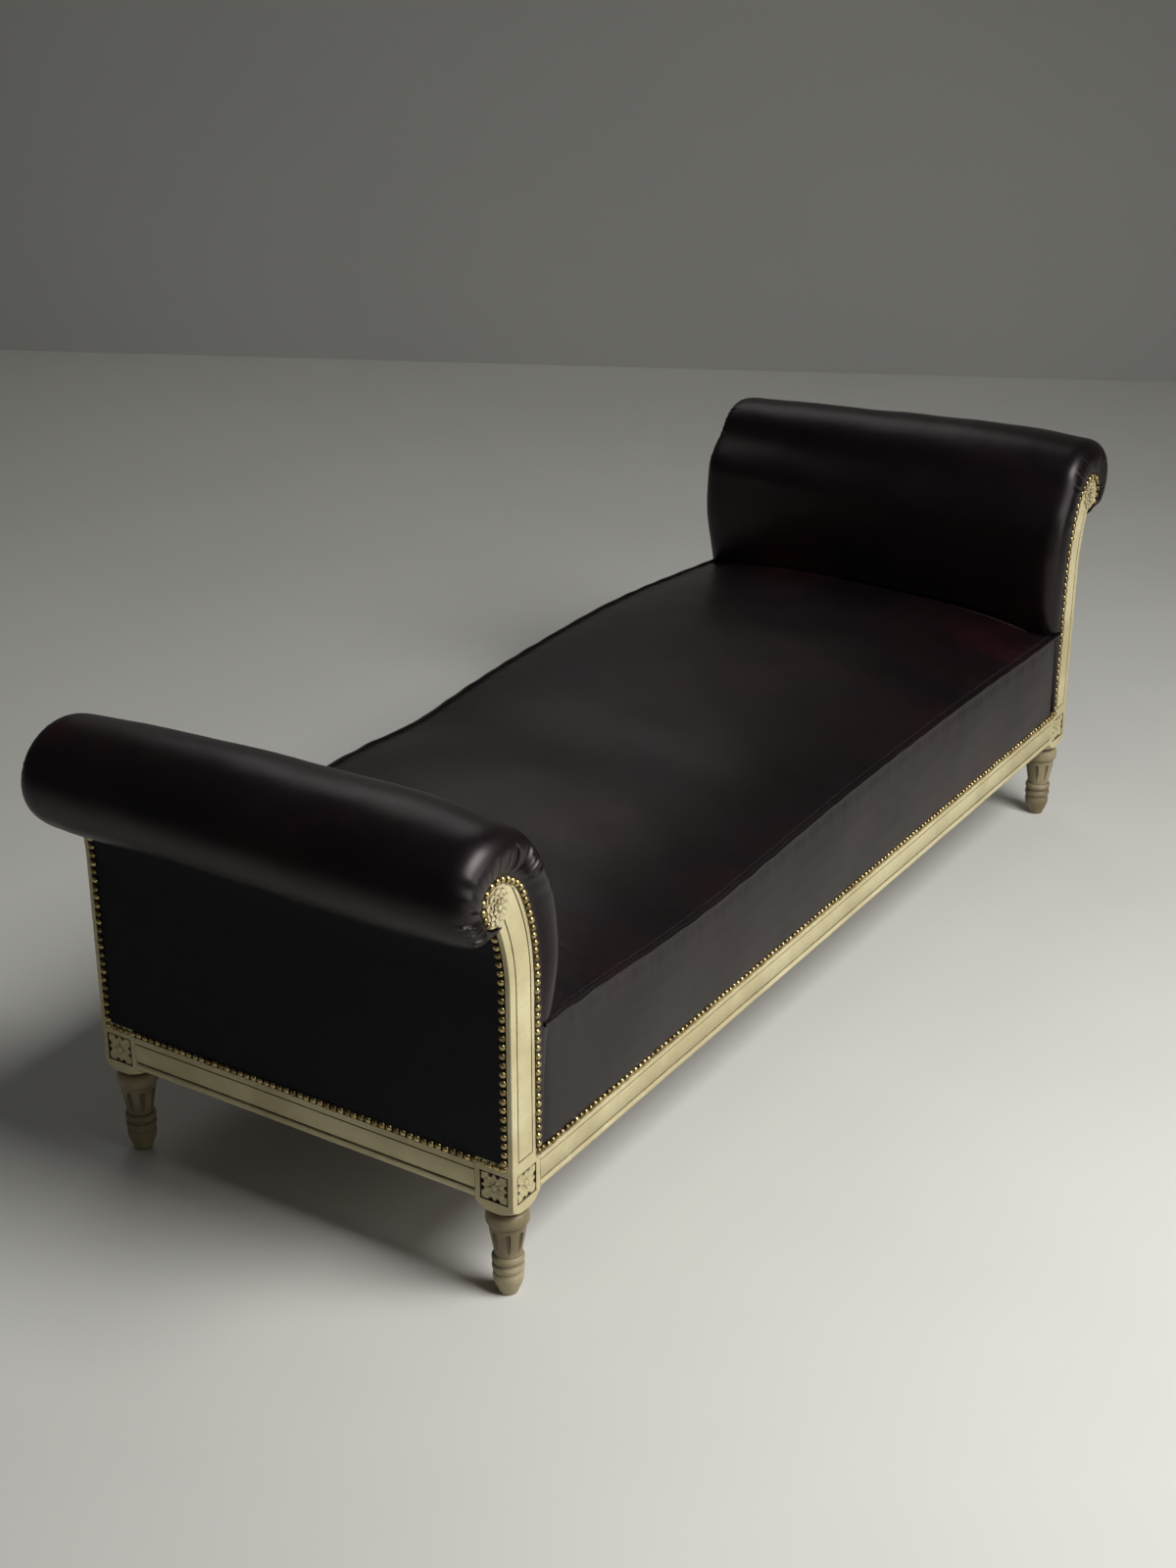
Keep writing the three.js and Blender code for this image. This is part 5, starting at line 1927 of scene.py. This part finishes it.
    def welt(self, palette: Palette, side: str, turn: int) -> None:
        """The leather-covered cord of the seam, and a row of stitches on both its sides.

        Args:
            palette: The finishes.
            side: The side's name.
            turn: 1 at the front, -1 at the back.
        """
        x = np.linspace(-S.seat_half + self.welt_end, S.seat_half - self.welt_end, 640)
        sway = Unevenness(51, *self.welt_wave).at(x)
        path = np.stack([x, np.full_like(x, turn * (S.front_y - self.welt_out)) + sway,
                         self.seam(x, turn) + sway], -1)
        radius = self.welt_radius + self.welt_twist * np.sin(x * 2 * math.pi / self.stitch)
        finish(soften(tube(f"welt_{side}", path, radius, 10), 60), palette.plum, "plum_leather")
        bpy.ops.mesh.primitive_uv_sphere_add(segments=6, ring_count=4, radius=1)
        thread = named("thread")
        thread.scale = self.thread
        settle(thread)
        steps = np.arange(-S.seat_half + self.stitch_end, S.seat_half - self.stitch_end, self.stitch)
        above, below = S.front_y + 0.0062, S.front_y - self.welt_out + 0.0004
        rows = ((above, self.top(steps, np.full_like(steps, turn * above)) + 0.0006),
                (below, self.seam(steps, turn) - 0.0058))
        spots = [(step, turn * y, z) for y, level in rows for step, z in zip(steps, level)]
        stitches = repeated(f"stitches_{side}", thread, map(Matrix.Translation, spots), 71)
        finish(tidy(stitches, 1e-7), palette.thread, "plum_leather")


# Leather on the outer ends

@dataclass
class OuterPanel:
    """The flat leather between the posts on each outer end."""

    edge: float = 0.0073
    top_z: float = 0.538
    corner_rise: float = 0.014
    corner: float = 0.045
    corner_end: float = 0.01
    gap: float = 0.0003
    slack: float = 0.0012
    wave: Pair = (0.2, 0.0006)

    def build(self, palette: Palette, end: str, turn: int) -> None:
        """Stretches one panel.

        Args:
            palette: The finishes.
            end: The end's name.
            turn: The sign of X at that end, 1 for the left one.
        """
        foot = S.leather_edge + self.gap
        half = -S.front_y - self.edge
        up = S.curve_z - foot

        def shape(u: Points, v: Points) -> Points:
            """Flat up to the curve, its corners run up beside the scrolls, drawn in between its sides."""
            y = (2 * u - 1) * half
            corner = smooth_step(np.abs(y), half - self.corner, half - self.corner_end)
            top = self.top_z + self.corner_rise * corner
            run = v * (up + np.arcsin((top - S.curve_z) / S.outer_radius) * S.outer_radius)
            angle = np.maximum(run - up, 0) / S.outer_radius
            x = S.curve_x + S.outer_radius * np.cos(angle)
            z = np.where(run < up, foot + run, S.curve_z + S.outer_radius * np.sin(angle))
            slack = np.sin(math.pi * u) ** 0.5 * np.sin(math.pi * np.clip(v, 0, 1)) ** 0.5
            x = x + (self.slack + Unevenness(61, *self.wave).at(y, z)) * slack
            return np.stack([turn * x, y, z], -1)
        panel = thick(facing(skin(f"outer_panel_{end}", 110, 60, shape), (-turn, 0, 0)))
        finish(panel, palette.slate, "slate_leather", f"outer_leather_{end}")


# Nails

@dataclass
class Nailing:
    """Domed brass nails in close rows along every edge of the leather."""

    head: float = 0.0052
    rise: float = 0.0036
    rail_count: int = 147
    end_count: int = 60
    pitch: float = 0.0112
    column_pitch: float = 0.0124
    column_turns: Pair = (18.2, 16.4)
    inset: float = 0.0053
    rail_line: float = 0.2042
    rail_end: float = 0.006
    end_rail_end: float = 0.0125
    rail_sink: float = 0.0006
    end_rail_sink: float = 0.0002
    post_sink: float = 0.0016
    post_foot: float = 0.0035
    flower: float = 0.0215
    last_degree: float = 219
    painted_edge: float = 0.0073
    wander: float = 0.00025
    tilt: float = 0.05
    size_error: float = 0.025

    def dome(self) -> Piece:
        """One nail head facing +Z, its foot at the origin."""
        r, h = self.head, self.rise
        shares = ((0, 1), (0.5, 0.88), (0.85, 0.5), (1, 0.04), (0.9, -0.2), (0, -0.2))
        return turned("dome", [(r * out, h * up) for out, up in shares], 10)

    def row(self, palette: Palette, name: str, spots: Axes, ways: Axes, seed: int) -> None:
        """One row of nails.

        Args:
            palette: The finishes.
            name: The row's name.
            spots: Where the heads sit, as X, Y and Z.
            ways: What each head faces, the same way.
            seed: Which small errors are drawn.
        """
        draw = np.random.default_rng(seed)
        places = []
        for *spot, x, y, z in zip(*np.broadcast_arrays(*spots, *ways)):
            way = np.array((x, y, z))
            turn = Vector(way + draw.normal(0, self.tilt, 3)).to_track_quat("Z", "Y").to_matrix().to_4x4()
            size = Matrix.Scale(draw.normal(1, self.size_error), 4)
            places.append(Matrix.Translation(spot + draw.normal(0, self.wander, 3)) @ turn @ size)
        row = repeated(name, self.dome(), places, seed)
        finish(tidy(row, 1e-7), palette.brass, "brass")

    @staticmethod
    def spaced(line: Points, pitch: float) -> Points:
        """Places a pitch apart along a line.

        Args:
            line: Points in X and Z.
            pitch: The distance, stretched a little to fit.

        Returns:
            The places.
        """
        steps = np.hypot(*np.diff(line, axis=0).T)
        run = np.concatenate([[0], np.cumsum(steps)])
        count = int(run[-1] / pitch)
        at = np.linspace(0, run[-1], count + 1)
        return np.stack([np.interp(at, run, line[:, i]) for i in range(2)], -1)

    def build(self, palette: Palette) -> None:
        """Drives every row."""
        self.rails(palette)
        for turn in Turn:
            self.post(palette, turn)
            self.column(palette, turn)

    def rails(self, palette: Palette) -> None:
        """Rows along the tops of the four rails."""
        reach = -S.seat_side_x - self.rail_end
        x = np.linspace(-reach, reach, self.rail_count)
        for side, turn in SIDES:
            spots = x, turn * (S.front_y - self.rail_sink), self.rail_line
            self.row(palette, f"nails_rail_{side}", spots, (0, -turn, 0), 100 + turn)
        reach = -S.front_y - self.end_rail_end
        y = np.linspace(-reach, reach, self.end_count)
        for end, turn in ENDS:
            spots = turn * (S.outer_x - self.end_rail_sink), y, self.rail_line
            self.row(palette, f"nails_end_rail_{end}", spots, (-turn, 0, 0), 110 + turn)

    def post(self, palette: Palette, turn: Turn) -> None:
        """The row up a post's seat side and round its scroll.

        Args:
            palette: The finishes.
            turn: The post's corner.
        """
        turn_x, turn_y = turn.value
        rise = np.linspace(S.rail_top - self.post_foot, S.curve_z, 30)
        straight = np.stack([np.full_like(rise, S.seat_side_x - self.inset), rise], -1)
        bend = LINE.bend(S.curve_radius - self.inset, np.linspace(0.5, LINE.turn_of(0) - 1, 24))
        degrees = np.linspace(LINE.degrees[0], self.last_degree, 60)
        edge = LINE.reach_at(degrees)
        reach = edge - np.minimum(self.inset, (edge - self.flower) * 0.5)
        line = self.spaced(np.vstack([straight, bend, LINE.about(reach, degrees)]), self.pitch)
        spots = turn_x * line[:, 0], turn_y * (S.front_y - self.post_sink), line[:, 1]
        self.row(palette, f"nails_post_{turn.label}", spots, (0, -turn_y, 0), 120 + list(Turn).index(turn))

    def column(self, palette: Palette, turn: Turn) -> None:
        """The row beside a post's painted edge on the outer leather.

        Args:
            palette: The finishes.
            turn: The post's corner.
        """
        turn_x, turn_y = turn.value
        rise = np.linspace(S.rail_top + self.post_foot, S.curve_z, 20)
        straight = np.stack([np.full_like(rise, S.outer_x), rise], -1)
        bend = LINE.bend(S.outer_radius, np.linspace(0.5, self.column_turns[turn_y < 0], 20))
        line = self.spaced(np.vstack([straight, bend]), self.column_pitch)
        spots = turn_x * line[:, 0], turn_y * (S.front_y + self.painted_edge + self.inset), line[:, 1]
        out = np.stack([line[:, 0] - S.curve_x, line[:, 1] - np.minimum(line[:, 1], S.curve_z)], -1)
        out /= np.linalg.norm(out, axis=1)[:, None]
        ways = -turn_x * out[:, 0], 0, -out[:, 1]
        self.row(palette, f"nails_outer_{turn.label}", spots, ways, 130 + list(Turn).index(turn))


# Springing

@dataclass
class Springing:
    """Webbing, springs, hessian and the stitched edges under the seat."""

    web_width: float = 0.052
    web_top: float = 0.1467
    web_thickness: float = 0.0016
    web_margin: float = 0.012
    web_play: float = 0.0001
    columns: int = 7
    rows: tuple[str, ...] = ("front", "middle", "back")
    pitch: float = 0.2181
    row_y: float = 0.2175
    spring_height: float = 0.148
    turns: float = 3.5
    end_radius: float = 0.044
    waist: float = 0.025
    wire: float = 0.0022
    flat_share: float = 0.07
    rest: float = 0.0003
    hessian_foot: float = 0.2953
    hessian_thickness: float = 0.0009
    hessian_top: float = 0.0012
    hessian_dip: float = 0.0001
    hessian_margins: Pair = (0.042, 0.016)
    roll_width: float = 0.062
    roll_round: float = 0.014
    roll_rows: int = 200
    roll_gap: float = 0.0004
    roll_end: float = 0.006
    roll_front: float = 0.0022
    roll_behind: float = 0.002
    stitch_pitch: float = 0.022
    stitch_depth: float = 0.0016
    stitch_reach: float = 0.02

    def spring_x(self, column: int) -> float:
        """Where a column of springs stands."""
        return (column - (self.columns - 1) / 2) * self.pitch

    def spring_y(self, row: int) -> float:
        """Where a row of springs stands."""
        return (row - 1) * self.row_y

    def build(self, palette: Palette) -> None:
        """Builds everything under the seat."""
        self.webbing(palette)
        self.springs(palette)
        self.hessian(palette)
        for side, turn in SIDES:
            self.edge(palette, side, turn)

    def strap(self, middle: float, half: float, crossings: Sequence[float], over: int,
              along_x: bool) -> Piece:
        """One strap that passes over and under the ones across it.

        Args:
            middle: Its middle line.
            half: Half of its length.
            crossings: Where the straps across it lie.
            over: 1 where it starts over the first of them, -1 under it.
            along_x: Whether it runs along the daybed.

        Returns:
            The strap.
        """
        def shape(u: Points, v: Points) -> Points:
            """A flat ribbon with soft waves at the crossings."""
            run, side = (2 * u - 1) * half, (v - 0.5) * self.web_width
            lift = np.full_like(u, -self.web_thickness / 2)
            for i, crossing in enumerate(crossings):
                sign = over if i % 2 == 0 else -over
                near = smooth_step(np.abs(run - crossing), self.web_width * 0.95, self.web_width * 0.5)
                lift += ((sign - 1) * 0.5 * self.web_thickness + sign * self.web_play) * near
            ends = [run, middle + side] if along_x else [middle + side, run]
            return np.stack([*ends, self.web_top + lift], -1)
        strap = skin("strap", 150, 6, shape)
        with editing(strap):
            bpy.ops.mesh.normals_make_consistent(inside=False)
        return modify(strap, "SOLIDIFY", thickness=self.web_thickness * 0.9, offset=0, use_rim=True)

    def webbing(self, palette: Palette) -> None:
        """Seven straps across and three along, woven through each other."""
        xs = [self.spring_x(i) for i in range(self.columns)]
        ys = [self.spring_y(i) for i in range(len(self.rows))]
        half_x, half_y = -S.outer_x - self.web_margin, -S.front_y - self.web_margin
        straps = [self.strap(x, half_y, ys, 1 if i % 2 else -1, False) for i, x in enumerate(xs)]
        straps += [self.strap(y, half_x, xs, -1 if i % 2 == 0 else 1, True) for i, y in enumerate(ys)]
        web = joined("webbing_woven", *straps)
        finish(soften(tidy(web), 60), palette.webbing, "jute", "webbing")

    def springs(self, palette: Palette) -> None:
        """Waisted springs that stand on the crossings."""
        t = np.linspace(0, 1, 92)
        climb = np.clip((t - self.flat_share) / (1 - 2 * self.flat_share), 0, 1)
        radius = self.waist + (self.end_radius - self.waist) * (2 * climb - 1) ** 2
        angle = 2 * math.pi * self.turns * t
        z = self.wire + (self.spring_height - 2 * self.wire) * climb
        wire = tube("wire", np.stack([radius * np.cos(angle), radius * np.sin(angle), z], -1), self.wire, 8)
        for row, label in enumerate(self.rows):
            for column in range(self.columns):
                node = f"spring_{label}_{column + 1}"
                spring = flipped(wire, f"{node}_coil", 1, 1)
                spring.location = (self.spring_x(column), self.spring_y(row), self.web_top + self.rest)
                finish(soften(settle(spring), 60), palette.steel, "spring_steel", node)
        bpy.data.objects.remove(wire)

    def hessian(self, palette: Palette) -> None:
        """The cloth that lies on the springs, pressed down a little between them."""
        half_x = S.seat_half - self.hessian_margins[0]
        half_y = -S.front_y - self.hessian_margins[1]

        def shape(u: Points, v: Points) -> Points:
            """A sheet with faint dips."""
            x, y = (2 * u - 1) * half_x, (2 * v - 1) * half_y
            dips = np.cos(2 * math.pi * x / self.pitch) + np.cos(2 * math.pi * y / self.row_y) - 2
            return np.stack([x, y, self.hessian_foot + self.hessian_top + self.hessian_dip * dips], -1)
        sheet = facing(skin("hessian_sheet", 120, 50, shape), (0, 0, 1))
        thick(sheet, self.hessian_thickness)
        finish(sheet, palette.hessian, "jute", "hessian")

    def edge(self, palette: Palette, side: str, turn: int) -> None:
        """The stitched roll of first stuffing behind a border.

        Args:
            palette: The finishes.
            side: The side's name.
            turn: 1 at the front, -1 at the back.
        """
        outer, inner = S.front_y + self.roll_front, S.front_y + self.roll_behind + self.roll_width
        low, high = S.rail_top + self.roll_gap, self.hessian_foot - self.roll_gap
        middle = np.array([inner, high]) - self.roll_round
        outline = np.vstack([
            [[outer, low], [inner, low]],
            middle + self.roll_round * unit_ways(np.linspace(0, 90, 8)),
            [[outer, high]],
        ])
        half = S.seat_half - self.roll_end
        edge = plate(f"edge_roll_{side}_stitched", outline, Plane.YZ, -half, half)
        with editing(edge):
            choose(edge, lambda e: abs(e.verts[0].co.x - e.verts[1].co.x) > half)
            bpy.ops.mesh.subdivide(number_cuts=self.roll_rows)
        places = vertices(edge)
        inside = smooth_step(places[:, 1], outer + self.stitch_reach, inner)
        stitch = np.abs(np.sin(places[:, 0] * math.pi / self.stitch_pitch)) ** 0.5
        places[:, 1] -= self.stitch_depth * (1 - stitch) * inside
        places[:, 1] *= turn
        move_to(edge, places)
        finish(soften(tidy(edge), 60), palette.hair, "horsehair", f"edge_roll_{side}")


# The whole daybed

NEAR_GATHERS = (
    Gather(60, 0.0020, -0.0034, 0.48, 13), Gather(43, 0.0017, 0.0026, 0.66), Gather(35, 0.0017, -0.0024, 0.5),
    Gather(26, 0.0017, 0.0024, 0.6), Gather(17, 0.002, -0.0016, 0.6), Gather(7, 0.0022, -0.0024, 0.95),
    Gather(-10, 0.0022, -0.0024, 0.95, 2), Gather(82, 0.003, -0.0010, 0.35), Gather(100, 0.003, -0.0009, 0.4),
    Gather(112, 0.0028, 0.0008, 0.4), Gather(127, 0.003, -0.0008, 0.38), Gather(140, 0.004, -0.0007, 0.85),
    Gather(150, 0.004, 0.0008, 0.85), Gather(160, 0.0018, -0.0020, 0.4, -3),
    Gather(171, 0.0016, -0.0014, 0.3), Gather(179, 0.0018, 0.0028, 0.72, -8),
    Gather(188, 0.0018, -0.0018, 0.6, -7), Gather(203, 0.0024, -0.0030, 0.62, -12),
    Gather(213, 0.0022, 0.0016, 0.5, -10),
)


def drawn_gathers(seed: int, count: int = 15) -> tuple[Gather, ...]:
    """Gathers at seeded places round an end that the picture doesn't show closely.

    Args:
        seed: Which places are drawn.
        count: How many.

    Returns:
        The gathers.
    """
    draw = np.random.default_rng(seed)
    turns = np.linspace(-8, 213, count) + draw.normal(0, 3.5, count)
    heights = np.where(np.arange(count) % 2, 1, -1) * draw.uniform(0.0007, 0.0017, count)
    heights *= 1 - 0.75 * smooth_step(turns, 120, 160)
    return tuple(Gather(float(turn), float(draw.uniform(0.0017, 0.0026)), float(height),
                        float(draw.uniform(0.4, 0.9)), float(draw.normal(0, 5)))
                 for turn, height in zip(turns, heights))


def main() -> None:
    """Builds the studio and every sub-assembly in order."""
    logging.basicConfig(level=logging.INFO, format="%(name)s: %(message)s")
    Studio().build()
    palette = Palette()
    PaintedFrame().build(palette)
    StuffedEnd("left", 1, NEAR_GATHERS, drawn_gathers(3), 11).build(palette)
    StuffedEnd("right", -1, drawn_gathers(5), drawn_gathers(7), 17, (91, 95, 91, 86, 79, 72, 67),
               puffs=(0.004, 0.014)).build(palette)
    Seat().build(palette)
    for end, turn in ENDS:
        OuterPanel().build(palette, end, turn)
    Nailing().build(palette)
    Springing().build(palette)


if __name__ == "__main__":
    main()
